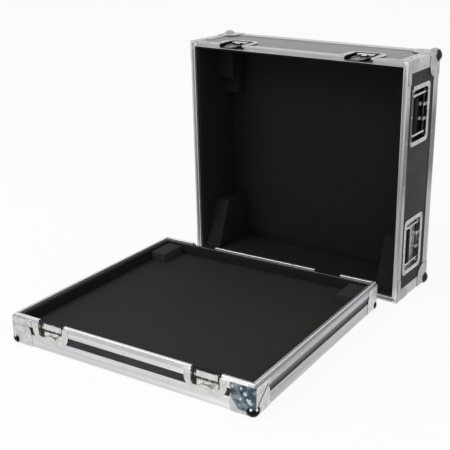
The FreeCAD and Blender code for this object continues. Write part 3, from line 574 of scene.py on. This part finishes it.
def cornerSeam(tree, split):
    # painted shadow: a dark slanting line where the plates meet
    fromFront = calc(tree, "ADD", split[1], mm(depth / 2))
    slant = calc(tree, "ADD", product(tree, fromFront, plates["seamSlope"]), plates["seamStart"])
    off = calc(tree, "ABSOLUTE", calc(tree, "SUBTRACT", split[2], slant))
    line = ranged(tree, off, plates["seamHalf"], plates["seamHalf"] + plates["seamSoft"], 1.0, 0.0)
    along = ranged(tree, fromFront, plates["seamFrom"], plates["seamTo"])
    short = calc(tree, "LESS_THAN", fromFront, plates["seamLength"])
    side = calc(tree, "GREATER_THAN", split[0], mm(width / 2) + plates["proud"] / 2)
    return product(tree, line, along, short, side)


def cornerSteel(name, place, ballRadius):
    values = finishesAndPaintedLight[name]
    shared = finishesAndPaintedLight["allCorners"]
    material, tree, shader, coords = startMaterial(name)
    local = centredOn(tree, coords, place)
    folded = vectorCalc(tree, "ABSOLUTE", local)
    split = separated(tree, local)
    inset = case["ballInset"]
    centre = at(width / 2 - inset, depth / 2 - inset, inset)
    tone = placeGroup(tree, platingNodes, coords, Cool=values["cool"], Warm=values["warm"],
                      Scale=shared["clouds"])
    scuffs = placeGroup(tree, scuffNodes, coords, Scale=shared["scuffScale"])
    # painted reflection: a deep blue green zone with blotches, and painted highlights as bright spots
    blotches = noiseOf(tree, local, plates["blotchScale"], 2.0)
    blotches = ranged(tree, blotches, plates["blotchFrom"], plates["blotchTo"])
    deepTone = mixColours(tree, blotches, values["deep"], values["blotch"])
    frontFace = -mm(depth / 2) - plates["proud"]
    for spotX, spotZ, radius in values["glints"]:
        spot = placeGroup(tree, spotNodes, local, Centre=(spotX, frontFace, spotZ),
                          Radius=radius, Soft=radius)
        deepTone = mixColours(tree, spot["Mask"], deepTone, values["glint"])
    across = calc(tree, "ADD", split[2], product(tree, split[0], plates["cutSlope"]))
    deep = product(tree, *(ranged(tree, value, plates[key + "From"], plates[key + "To"]) for value, key in (
        (split[0], "zone"), (split[1], "front"), (split[2], "low"), (across, "cut"))))
    colour = mixColours(tree, deep, tone["Color"], deepTone)
    # painted shadow line on the corner's end side
    if "seam" in values:
        colour = mixColours(tree, cornerSeam(tree, split), colour, values["seam"])
    scuffTone = product(tree, scuffs["Scuffs"], shared["scuffTone"])
    colour = mixColours(tree, scuffTone, colour, values["blotch"])
    # painted reflection on the balls: dark, with a paler side, and a thin dark ring on the plate about each
    ball = placeGroup(tree, spotNodes, folded, Centre=centre, Radius=mm(ballRadius + balls["ring"]),
                      Soft=balls["soft"])["Mask"]
    outward = calc(tree, "SUBTRACT", separated(tree, folded)[0], centre.x)
    crescent = ranged(tree, outward, *(mm(ballRadius) * share for share in balls["darkShares"]))
    colour = mixColours(tree, ball, colour, mixColours(tree, crescent, values["ballPale"], values["ball"]))
    # painted highlights on the balls
    for way in values["highlights"]:
        spot = placeGroup(tree, spotNodes, folded, Centre=centre + Vector(way) * mm(ballRadius),
                          Radius=balls["highlightRadius"])["Mask"]
        colour = mixColours(tree, spot, colour, balls["highlight"])
    tree.links.new(colour, shader.inputs["Base Color"])
    roughInto(tree, shader, values["roughness"], scuffs, shared["roughSpread"])
    shader.inputs["Metallic"].default_value = 1.0
    bumpInto(tree, shader, tone["Mottle"], shared["bump"])
    return material


def rubber(name):
    values = finishesAndPaintedLight["rubber"]
    material, tree, shader, coords = startMaterial(name)
    cloud = noiseOf(tree, coords, values["clouds"], 3.0)
    grit = noiseOf(tree, coords, values["grit"], 2.0)
    colour = mixColours(tree, ranged(tree, cloud, 0.45, 0.75), values["colour"], values["dust"])
    tree.links.new(colour, shader.inputs["Base Color"])
    rough = ranged(tree, grit, 0.3, 0.7, values["smoothest"], values["roughest"])
    tree.links.new(rough, shader.inputs["Roughness"])
    shader.inputs["Specular IOR Level"].default_value = values["specular"]
    bumpInto(tree, shader, grit, values["bump"])
    return material


def foam(name, key):
    values = finishesAndPaintedLight[key]
    shared = finishesAndPaintedLight["allFoam"]
    material, tree, shader, coords = startMaterial(name)
    pores = placeGroup(tree, poreNodes, coords, Scale=values["pores"])
    pale = [part * shared["pale"] for part in values["colour"][:3]] + [1]
    lit = mixColours(tree, product(tree, pores["Cloud"], 0.5), values["colour"], pale)
    colour = mixColours(tree, pores["Pits"], lit, values["pit"])
    # painted shade: the floor darkens towards the back, to the pits' colour
    if "shade" in values:
        far = ranged(tree, separated(tree, coords)[1], *values["shade"])
        colour = mixColours(tree, far, colour, values["pit"])
    tree.links.new(colour, shader.inputs["Base Color"])
    tree.links.new(ranged(tree, pores["Pits"], 0.0, 1.0, 0.85, 1.0), shader.inputs["Roughness"])
    shader.inputs["Specular IOR Level"].default_value = shared["specular"]
    bumpInto(tree, shader, pores["Height"], shared["bump"])
    return material


# plated parts: roughness, cool tone, warm tone
keeperSteel = plating("keeperSteel", 0.22, (0.58, 0.585, 0.58, 1), (0.72, 0.71, 0.67, 1),
                      keeperPocket, trayPlace)
latchSteel = plating("latchSteel", 0.24, (0.36, 0.36, 0.37, 1), (0.56, 0.56, 0.55, 1), latchPocket, lidPlace)
handleSteel = plating("handleSteel", 0.24, (0.40, 0.405, 0.41, 1), (0.58, 0.58, 0.575, 1),
                      handlePocket, lidPlace)
steelWing = plating("platedWing", 0.2, (0.30, 0.30, 0.31, 1), (0.62, 0.62, 0.61, 1))
# painted shade: the hook's steel is near black, as the latch's mouth lies in shade; the spindle and the
# handles' springs share it
steelHook = plating("platedHook", 0.26, (0.025, 0.025, 0.025, 1), (0.085, 0.083, 0.078, 1))
steelPin = plating("pinSteel", 0.3, (0.03, 0.03, 0.03, 1), (0.08, 0.08, 0.08, 1))
steelBail = plating("platedBail", 0.22, (0.42, 0.425, 0.43, 1), (0.60, 0.60, 0.59, 1))
# painted shade: the lid's rivets are a darker copy of the tray's
trayRivetSteel = plating("trayRivetSteel", 0.3, (0.54, 0.545, 0.555, 1), (0.66, 0.66, 0.665, 1))
lidRivetSteel = plating("lidRivetSteel", 0.3, (0.34, 0.34, 0.345, 1), (0.50, 0.50, 0.50, 1))
trayMetal = aluminium("trayAluminium", trayPlace)
lidMetal = aluminium("lidAluminium", lidPlace)
trayBoard = laminate("trayLaminate", trayPlace, "trayLaminate")
lidBoard = laminate("lidLaminate", lidPlace, "laminate")
# partly dust, partly painted light: a lighter copy for the lid's upper side
lidTopBoard = laminate("lidTopLaminate", lidPlace, "topLaminate")
trayCorner = cornerSteel("trayCorner", trayPlace, case["trayBall"])
lidCorner = cornerSteel("lidCorner", lidPlace, case["lidBall"])
gripRubber = rubber("gripRubber")
# painted shade: the lid's and the tray's walls' foam is a darker copy of the floor's
lidFoamLook = foam("lidFoam", "lidFoam")
trayWallLook = foam("trayWallFoam", "lidFoam")
floorFoamLook = foam("floorFoam", "floorFoam")
blockFoamLook = foam("blockFoam", "blockFoam")
print("materials made")


# the first row whose word is in a node's name decides; of two looks the first is the tray's
looks = [
    ("lid_back_panel", lidTopBoard), ("panel", trayBoard, lidBoard), ("angles", trayMetal, lidMetal),
    ("ball_corners", trayCorner, lidCorner), ("braces", trayCorner, lidCorner),
    ("_rim", trayMetal, lidMetal), ("grip", gripRubber), ("wing", steelWing), ("hook", steelHook),
    ("spindle", steelHook), ("handle_pins", steelPin), ("bail", steelBail), ("foam", lidFoamLook),
    ("blocks", lidFoamLook), ("handle_", handleSteel), ("keeper_", keeperSteel), ("", latchSteel)]


def lookOf(node):
    row = next(row for row in looks if row[0] in node)
    return row[1 if node.startswith("tray_") else -1]


for name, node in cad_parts.items():
    node.data.materials.clear()
    node.data.materials.append(lookOf(name))


# pieces

def newObject(name, data):
    item = bpy.data.objects.new(name, data)
    bpy.context.scene.collection.objects.link(item)
    return item


def newPiece(name, bm, look, body, smoothDegrees):
    mesh = bpy.data.meshes.new(name)
    bm.to_mesh(mesh)
    bm.free()
    mesh.shade_smooth()
    mesh.set_sharp_from_angle(angle=math.radians(smoothDegrees))
    mesh.materials.append(look)
    piece = newObject(name, mesh)
    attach(piece, body)
    return piece


def joinInto(whole, part):
    mesh = bpy.data.meshes.new("part")
    part.to_mesh(mesh)
    part.free()
    whole.from_mesh(mesh)
    bpy.data.meshes.remove(mesh)


def cutThrough(bm, point, way):
    bmesh.ops.bisect_plane(bm, geom=bm.verts[:] + bm.edges[:] + bm.faces[:], dist=1e-6,
                           plane_co=point, plane_no=way)


foamCut = {"clearance": 0.25, "sharpDegrees": 12, "edgeRadius": 2.2, "edgeSteps": 3, "grid": 24,
           "uneven": 0.45, "wave": 16.0, "fineWave": 4, "fineShare": 0.4}


def pullFaces(bm, faces, way):
    raised = bmesh.ops.extrude_face_region(bm, geom=faces)["geom"]
    moved = [item for item in raised if isinstance(item, bmesh.types.BMVert)]
    bmesh.ops.translate(bm, vec=way, verts=moved)


def prism(outline, low, high):
    # a straight cut of foam: an outline in x and y, raised from low to high
    bm = bmesh.new()
    face = bm.faces.new([bm.verts.new(at(u, v, low)) for u, v in outline])
    pullFaces(bm, [face], at(0, 0, high - low))
    bmesh.ops.recalc_face_normals(bm, faces=bm.faces)
    return bm


def slab(x0, x1, y0, y1, z0, z1):
    gap = foamCut["clearance"]
    return prism([(x0 + gap, y0 + gap), (x1 - gap, y0 + gap), (x1 - gap, y1 - gap), (x0 + gap, y1 - gap)],
                 z0 + gap, z1 - gap)


def slicePlanes(bm, axis):
    step = mm(foamCut["grid"])
    low = min(v.co[axis] for v in bm.verts)
    high = max(v.co[axis] for v in bm.verts)
    count = int((high - low) / step)
    way = Vector((0, 0, 0))
    way[axis] = 1
    for index in range(1, count):
        cutThrough(bm, way * (low + (high - low) * index / count), way)


def softenFoam(bm, seed):
    for axis in range(3):
        slicePlanes(bm, axis)
    sharp = math.radians(foamCut["sharpDegrees"])
    corners = [edge for edge in bm.edges if edge.calc_face_angle(0) > sharp]
    bmesh.ops.bevel(bm, geom=corners, offset=mm(foamCut["edgeRadius"]), offset_type="OFFSET", affect="EDGES",
                    segments=foamCut["edgeSteps"], profile=0.5, material=-1, clamp_overlap=True)
    bm.normal_update()
    wave = foamCut["wave"]
    for vert in bm.verts:
        sample = noise.noise(vert.co * wave + Vector((seed, seed * 0.7, 0)))
        fine = noise.noise(vert.co * wave * foamCut["fineWave"] + Vector((0, seed, 0)))
        sample += foamCut["fineShare"] * fine
        vert.co -= vert.normal * mm(foamCut["uneven"]) * (0.5 + 0.5 * max(-1.0, min(1.0, sample)))


def mirrored(bm, axis, middle):
    other = bm.copy()
    flip = Matrix.Identity(4)
    flip[axis][axis] = -1
    shift = Vector((0, 0, 0))
    shift[axis] = mm(middle) * 2
    bmesh.ops.transform(other, matrix=Matrix.Translation(shift) @ flip, verts=other.verts)
    bmesh.ops.reverse_faces(other, faces=other.faces)
    return other


def foamPiece(name, parts, look, body, slot, *replaced):
    whole = bmesh.new()
    for seed, part in enumerate(parts):
        softenFoam(part, seed * 3.1 + len(name))
        joinInto(whole, part)
    place = lidPlace if body == "lid" else trayPlace
    bmesh.ops.transform(whole, matrix=place, verts=whole.verts)
    piece = newPiece(name, whole, look, body, 60)
    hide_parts(*replaced)


blocks = {
    "trayWidth": 50, "trayLength": 92, "trayBelowRim": 5, "floorThickness": 30, "lidBed": 10,
    "lidWidth": 55, "slopeLength": 144, "slopeTop": 70, "slopeFoot": 14,
    "stepLength": 100, "stepTop": 105, "secondLength": 50, "secondTop": 134, "belowRim": 1,
    "grooveDepth": 7,
}
handle = {"fromEnd": 151, "fromRim": 85, "holeLength": 143, "holeWidth": 95, "holeDepth": 19}


def recessed(wall):
    # pockets in the hidden side of an end wall's foam, behind the handles
    z = case["lidHeight"] - handle["fromRim"]
    halfL = handle["holeLength"] / 2
    halfW = handle["holeWidth"] / 2
    spans = []
    for middle in (handle["fromEnd"], depth - handle["fromEnd"]):
        spans.append((middle - halfL, middle + halfL))
        for y in spans[-1]:
            cutThrough(wall, at(0, y, 0), (0, 1, 0))
    for level in (z - halfW, z + halfW):
        cutThrough(wall, at(0, 0, level), (0, 0, 1))
    pocket = []
    for face in wall.faces:
        centre = face.calc_center_median() * 1000
        onWall = face.normal.x < -0.9 and abs(centre.z - z) < halfW
        if onWall and any(low < centre.y < high for low, high in spans):
            pocket.append(face)
    pullFaces(wall, pocket, at(handle["holeDepth"] - wallIn, 0, 0))
    bmesh.ops.delete(wall, geom=pocket, context="FACES")


def wallStrips(top, pockets=False):
    front = slab(wallIn, width - wallIn, wallIn, foamIn, wallIn, top)
    left = slab(wallIn, foamIn, foamIn, depth - foamIn, wallIn, top)
    if pockets:
        recessed(left)
    return [front, mirrored(front, 1, depth / 2), left, mirrored(left, 0, width / 2)]


def trayFoams():
    height = case["trayHeight"]
    blockX = foamIn + blocks["trayWidth"]
    blockY = depth - foamIn - blocks["trayLength"]
    back = depth - foamIn
    gap = foamCut["clearance"]
    outline = [(foamIn + gap, foamIn + gap), (width - foamIn - gap, foamIn + gap),
               (width - foamIn - gap, blockY - gap), (width - blockX - gap, blockY - gap),
               (width - blockX - gap, back - gap), (blockX + gap, back - gap),
               (blockX + gap, blockY - gap), (foamIn + gap, blockY - gap)]
    bed = prism(outline, wallIn + gap, wallIn + blocks["floorThickness"])
    left = slab(foamIn, blockX, blockY, back, wallIn, height - blocks["trayBelowRim"])
    foamPiece("trayBed", [bed], floorFoamLook, "tray", "floor_foam", "tray_floor_foam")
    foamPiece("trayWalls", wallStrips(height - blocks["belowRim"]), trayWallLook, "tray",
              "black_foam", "tray_wall_foam")
    foamPiece("trayBlocks", [left, mirrored(left, 0, width / 2)], blockFoamLook, "tray",
              "black_foam", "tray_foam_blocks")


alongX = frameAt((0, 0, 0), (0, 1, 0), (0, 0, 1))


def sideBlocks(outline):
    gap = foamCut["clearance"]
    left = prism(outline, foamIn + gap, foamIn + blocks["lidWidth"])
    bmesh.ops.transform(left, matrix=alongX, verts=left.verts)
    return [left, mirrored(left, 0, width / 2)]


def lidFoams():
    height = case["lidHeight"]
    gap = foamCut["clearance"]
    low = foamIn + gap
    bed = slab(foamIn, width - foamIn, foamIn, depth - foamIn, wallIn, wallIn + blocks["lidBed"])
    top = height - blocks["grooveDepth"] - case["sheet"] - blocks["belowRim"]
    slopeEnd = foamIn + blocks["slopeLength"]
    slope = [(low, low), (slopeEnd, low), (slopeEnd, height - blocks["slopeTop"]),
             (low, height - blocks["slopeFoot"])]
    back = depth - foamIn - gap
    first = depth - foamIn - blocks["stepLength"]
    second = first - blocks["secondLength"]
    steps = [(back, low), (back, height - blocks["stepTop"]), (first, height - blocks["stepTop"]),
             (first, height - blocks["secondTop"]), (second, height - blocks["secondTop"]), (second, low)]
    foamPiece("lidBed", [bed], lidFoamLook, "lid", "black_foam", "lid_top_foam")
    foamPiece("lidWalls", wallStrips(top, True), lidFoamLook, "lid", "black_foam",
              "lid_wall_foam", "lid_end_foam")
    foamPiece("slopeBlocks", sideBlocks(slope), lidFoamLook, "lid", "black_foam", "lid_slope_blocks")
    foamPiece("stepBlocks", sideBlocks(steps), lidFoamLook, "lid", "black_foam", "lid_step_blocks")


trayFoams()
lidFoams()
print("foam cut")


# rivets: domed heads with the pulled stem's dark pit in the middle
rivet = {"radius": 3.1, "height": 1.15, "dome": ((0.62, 0.86), (0.9, 0.45)), "pitRadius": 1.05,
         "pitFoot": 0.85, "pitDepth": 0.55, "pitLip": 0.05, "lift": 0.03, "steps": 12}


def addRivet(bm, place):
    high = rivet["height"]
    pit = rivet["pitRadius"]
    profile = [(0, high - rivet["pitDepth"]), (pit * rivet["pitFoot"], high - rivet["pitDepth"]),
               (pit, high - rivet["pitLip"])]
    profile += [(rivet["radius"] * out, high * up) for out, up in rivet["dome"]]
    profile += [(rivet["radius"], rivet["lift"]), (0, rivet["lift"])]
    known = len(bm.verts)
    ring = [bm.verts.new(at(u, 0, v)) for u, v in profile]
    line = [bm.edges.new(pair) for pair in zip(ring, ring[1:])]
    bmesh.ops.spin(bm, geom=ring + line, cent=(0, 0, 0), axis=(0, 0, 1), dvec=(0, 0, 0),
                   angle=math.tau, steps=rivet["steps"], use_merge=True, use_duplicate=False)
    bm.verts.ensure_lookup_table()
    bmesh.ops.transform(bm, matrix=place, verts=bm.verts[known:])


def onFront(x, z):
    return frameAt(at(x, 0, z), (1, 0, 0), (0, 0, 1))


def onLeft(y, z):
    return frameAt(at(0, y, z), (0, -1, 0), (0, 0, 1))


def onClosed(x, y):
    return frameAt(at(x, y, 0), (0, 1, 0), (1, 0, 0))


def flipX():
    return Matrix.Translation(at(width, 0, 0)) @ Matrix.Scale(-1, 4, (1, 0, 0))


def flipY():
    return Matrix.Translation(at(0, depth, 0)) @ Matrix.Scale(-1, 4, (0, 1, 0))


def spread(low, high, gap):
    count = max(2, round((high - low) / gap) + 1)
    return [low + (high - low) * index / (count - 1) for index in range(count)]


def lifted(place, amount):
    return place @ Matrix.Translation(at(0, 0, amount))


# lines of rivets along the edges, and the places of those on ball corners and braces;
# "floorSide": how proud they are on the side that the lid stands on
riveting = {"legLine": 24, "rimLine": 10.5, "spacing": 118, "fromCorner": 96, "latchClear": 60,
            "closedBall": ((48, 12), (12, 48), (36, 36)), "trayBall": ((48, 12), (12, 38), (36, 36)),
            "lidBall": ((48, 12), (12, 46), (36, 36)), "brace": ((56, 9.5), (34, 9.5)),
            "lidBrace": ((56, 9.5), (34, 9.5), (18, 50)), "floorSide": 0.7}


def halfRivets(height, half):
    bm = bmesh.new()
    line = riveting["legLine"]
    rim = height - riveting["rimLine"]
    start = riveting["fromCorner"]
    same = Matrix.Identity(4)
    for mirror, fromEnd in ((same, case["frontLatch"]), (flipY(), case["backLatch"])):
        for x in spread(start, width - start, riveting["spacing"]):
            addRivet(bm, mirror @ onFront(x, line))
            addRivet(bm, mirror @ onClosed(x, line))
            if min(abs(x - fromEnd), abs(x - width + fromEnd)) > riveting["latchClear"]:
                addRivet(bm, mirror @ onFront(x, rim))
    for mirror in (same, flipX()):
        for y in spread(start, depth - start, riveting["spacing"]):
            addRivet(bm, mirror @ onLeft(y, line))
            addRivet(bm, mirror @ onClosed(line, y))
            addRivet(bm, mirror @ onLeft(y, rim))
    # ball corners, braces and uprights, one corner and its three mirrors
    thick = case["braceThickness"]
    braces = [(u, height - down, thick) for u, down in riveting["lidBrace" if half == "lid" else "brace"]]
    if half == "lid":
        braces.append((line, height / 2, 0))
    for mirror, isFloorSide in ((same, True), (flipX(), True), (flipY(), False), (flipX() @ flipY(), False)):
        most = riveting["floorSide"] if half == "lid" and isFloorSide else thick
        for u, v in riveting[half + "Ball"]:
            addRivet(bm, mirror @ lifted(onFront(u, v), case["sheet"]))
            addRivet(bm, mirror @ lifted(onLeft(u, v), case["sheet"]))
        for u, v, proud in braces:
            addRivet(bm, mirror @ lifted(onFront(u, v), min(proud, most)))
            addRivet(bm, mirror @ lifted(onLeft(u, v), proud))
        for u, v in riveting["closedBall"]:
            addRivet(bm, mirror @ lifted(onClosed(u, v), case["sheet"]))
    return bm


# rivets of latches, keepers and handles: their places on the plate, and how proud they are
plateSpots = {
    "keeper": ([(48, -11), (-48, -11), (0, -37)], 1.2),
    "keeperFloor": ([(33, -14), (-33, -14)], -9.2),
    "latch": ([(48, -10), (-48, -10), (48, -38), (-48, -38), (22, -73.5), (-22, -73.5)], 1.2),
    "handle": ([(u, v) for u in (70, 0, -70) for v in (51.5, -51.5)] + [(75.5, 0), (-75.5, 0)], -0.3),
}


def latchFrames(height, side):
    y, along, fromEnd = (0, 1, case["frontLatch"]) if side == "front" else (depth, -1, case["backLatch"])
    return [frameAt(at(x, y, height), (along, 0, 0), (0, 0, 1)) for x in (fromEnd, width - fromEnd)]


def handleFrames():
    z = case["lidHeight"] - handle["fromRim"]
    return [frameAt(at(x, y, z), (0, along, 0), (0, 0, 1))
            for y in (handle["fromEnd"], depth - handle["fromEnd"]) for x, along in ((0, -1), (width, 1))]


def plateRivets(bm, frames, spots, proud):
    for place in frames:
        for u, v in spots:
            addRivet(bm, lifted(place, proud) @ Matrix.Translation(at(u, v, 0)))


def finishRivets(name, bm, place, body, look):
    bmesh.ops.remove_doubles(bm, verts=bm.verts, dist=1e-6)
    bmesh.ops.transform(bm, matrix=place, verts=bm.verts)
    bmesh.ops.recalc_face_normals(bm, faces=bm.faces)
    newPiece(name, bm, look, body, 50)


trayRivets = halfRivets(case["trayHeight"], "tray")
for key in ("keeper", "keeperFloor"):
    for side in ("front", "back"):
        plateRivets(trayRivets, latchFrames(case["trayHeight"], side), *plateSpots[key])
finishRivets("trayRivets", trayRivets, trayPlace, "tray", trayRivetSteel)
lidRivets = halfRivets(case["lidHeight"], "lid")
plateRivets(lidRivets, latchFrames(case["lidHeight"], "front"), plateSpots["latch"][0],
            riveting["floorSide"])
plateRivets(lidRivets, latchFrames(case["lidHeight"], "back"), *plateSpots["latch"])
plateRivets(lidRivets, handleFrames(), *plateSpots["handle"])
finishRivets("lidRivets", lidRivets, lidPlace, "lid", lidRivetSteel)
print("rivets set")


# return springs on the handles' pins
spring = {"wire": 0.65, "coil": 3.7, "start": 26, "end": 49, "turns": 9, "sides": 6, "stepsPerTurn": 14,
          "hingeY": -37, "hingeZ": -9}


def addSpring(bm, place, mirror):
    known = len(bm.verts)
    made = bmesh.ops.create_circle(bm, segments=spring["sides"], radius=mm(spring["wire"]), cap_ends=False)
    verts = made["verts"]
    fresh = set(verts)
    bmesh.ops.translate(bm, vec=at(0, spring["coil"], 0), verts=verts)
    edges = [edge for edge in bm.edges if fresh.issuperset(edge.verts)]
    run = mm(spring["end"] - spring["start"])
    steps = spring["turns"] * spring["stepsPerTurn"]
    bmesh.ops.spin(bm, geom=verts + edges, cent=(0, 0, 0), axis=(1, 0, 0), dvec=(run / steps, 0, 0),
                   angle=math.tau * spring["turns"], steps=steps, use_merge=False, use_duplicate=False)
    bm.verts.ensure_lookup_table()
    shift = Matrix.Translation(at(spring["start"], spring["hingeY"], spring["hingeZ"]))
    flip = Matrix.Scale(-1, 4, (1, 0, 0)) if mirror else Matrix.Identity(4)
    bmesh.ops.transform(bm, matrix=place @ flip @ shift, verts=bm.verts[known:])


springs = bmesh.new()
for place in handleFrames():
    for mirror in (False, True):
        addSpring(springs, place, mirror)
ends = [edge for edge in springs.edges if edge.is_boundary]
bmesh.ops.holes_fill(springs, edges=ends, sides=spring["sides"])
bmesh.ops.transform(springs, matrix=lidPlace, verts=springs.verts)
bmesh.ops.recalc_face_normals(springs, faces=springs.faces)
newPiece("handleSprings", springs, steelHook, "lid", 60)
print("springs wound")


# floor, light and camera

studio = {
    "floorHalf": 30.0, "floorColour": (0.92, 0.92, 0.92, 1), "floorGlow": 0.9,
    "ambient": 0.62, "keyWatts": 70.0, "keySize": 2.2, "keyAt": (-2.2, -2.6, 3.2),
    "fillWatts": 22.0, "fillSize": 3.0, "fillAt": (3.4, -1.2, 2.2), "lampAim": (0, 0.3, 0.2),
    "cameraAt": (1.1509, -1.7682, 1.0045), "cameraTurn": (71.02, -0.10, 31.51), "lens": 70.33,
}


def seenDirectly(tree):
    path = nodeIn(tree, "ShaderNodeLightPath")
    seen = calc(tree, "MAXIMUM", path.outputs["Is Camera Ray"], path.outputs["Is Glossy Ray"])
    return calc(tree, "MAXIMUM", seen, path.outputs["Is Transmission Ray"])


def makeFloor():
    bm = bmesh.new()
    bmesh.ops.create_grid(bm, x_segments=1, y_segments=1, size=studio["floorHalf"])
    mesh = bpy.data.meshes.new("studioFloor")
    bm.to_mesh(mesh)
    bm.free()
    floor = newObject("studioFloor", mesh)
    material = bpy.data.materials.new("studioFloor")
    material.use_nodes = True
    tree = material.node_tree
    tree.nodes.clear()
    matt = nodeIn(tree, "ShaderNodeBsdfDiffuse")
    matt.inputs["Color"].default_value = studio["floorColour"]
    glow = nodeIn(tree, "ShaderNodeEmission")
    mix = nodeIn(tree, "ShaderNodeMixShader")
    tree.links.new(product(tree, seenDirectly(tree), studio["floorGlow"]), mix.inputs[0])
    tree.links.new(matt.outputs[0], mix.inputs[1])
    tree.links.new(glow.outputs[0], mix.inputs[2])
    output = nodeIn(tree, "ShaderNodeOutputMaterial")
    tree.links.new(mix.outputs[0], output.inputs["Surface"])
    mesh.materials.append(material)


def makeWorld():
    world = bpy.data.worlds.new("studio")
    bpy.context.scene.world = world
    world.use_nodes = True
    tree = world.node_tree
    background = tree.nodes["Background"]
    background.inputs["Color"].default_value = (1, 1, 1, 1)
    tree.links.new(mixValues(tree, seenDirectly(tree), studio["ambient"], 1.0), background.inputs["Strength"])


def makeLamp(key):
    lamp = bpy.data.lights.new(key + "Lamp", "AREA")
    lamp.energy = studio[key + "Watts"]
    lamp.shape = "DISK"
    lamp.size = studio[key + "Size"]
    holder = newObject(key + "Lamp", lamp)
    place = studio[key + "At"]
    holder.location = place
    holder.rotation_euler = (Vector(studio["lampAim"]) - Vector(place)).to_track_quat("-Z", "Y").to_euler()


def makeCamera():
    camera = bpy.data.cameras.new("camera")
    camera.lens = studio["lens"]
    camera.sensor_width = 36
    camera.clip_end = 200
    holder = newObject("camera", camera)
    holder.location = studio["cameraAt"]
    holder.rotation_euler = [math.radians(part) for part in studio["cameraTurn"]]
    bpy.context.scene.camera = holder


makeFloor()
makeWorld()
makeLamp("key")
makeLamp("fill")
makeCamera()
bpy.context.scene.view_settings.view_transform = "Standard"
print("studio ready")
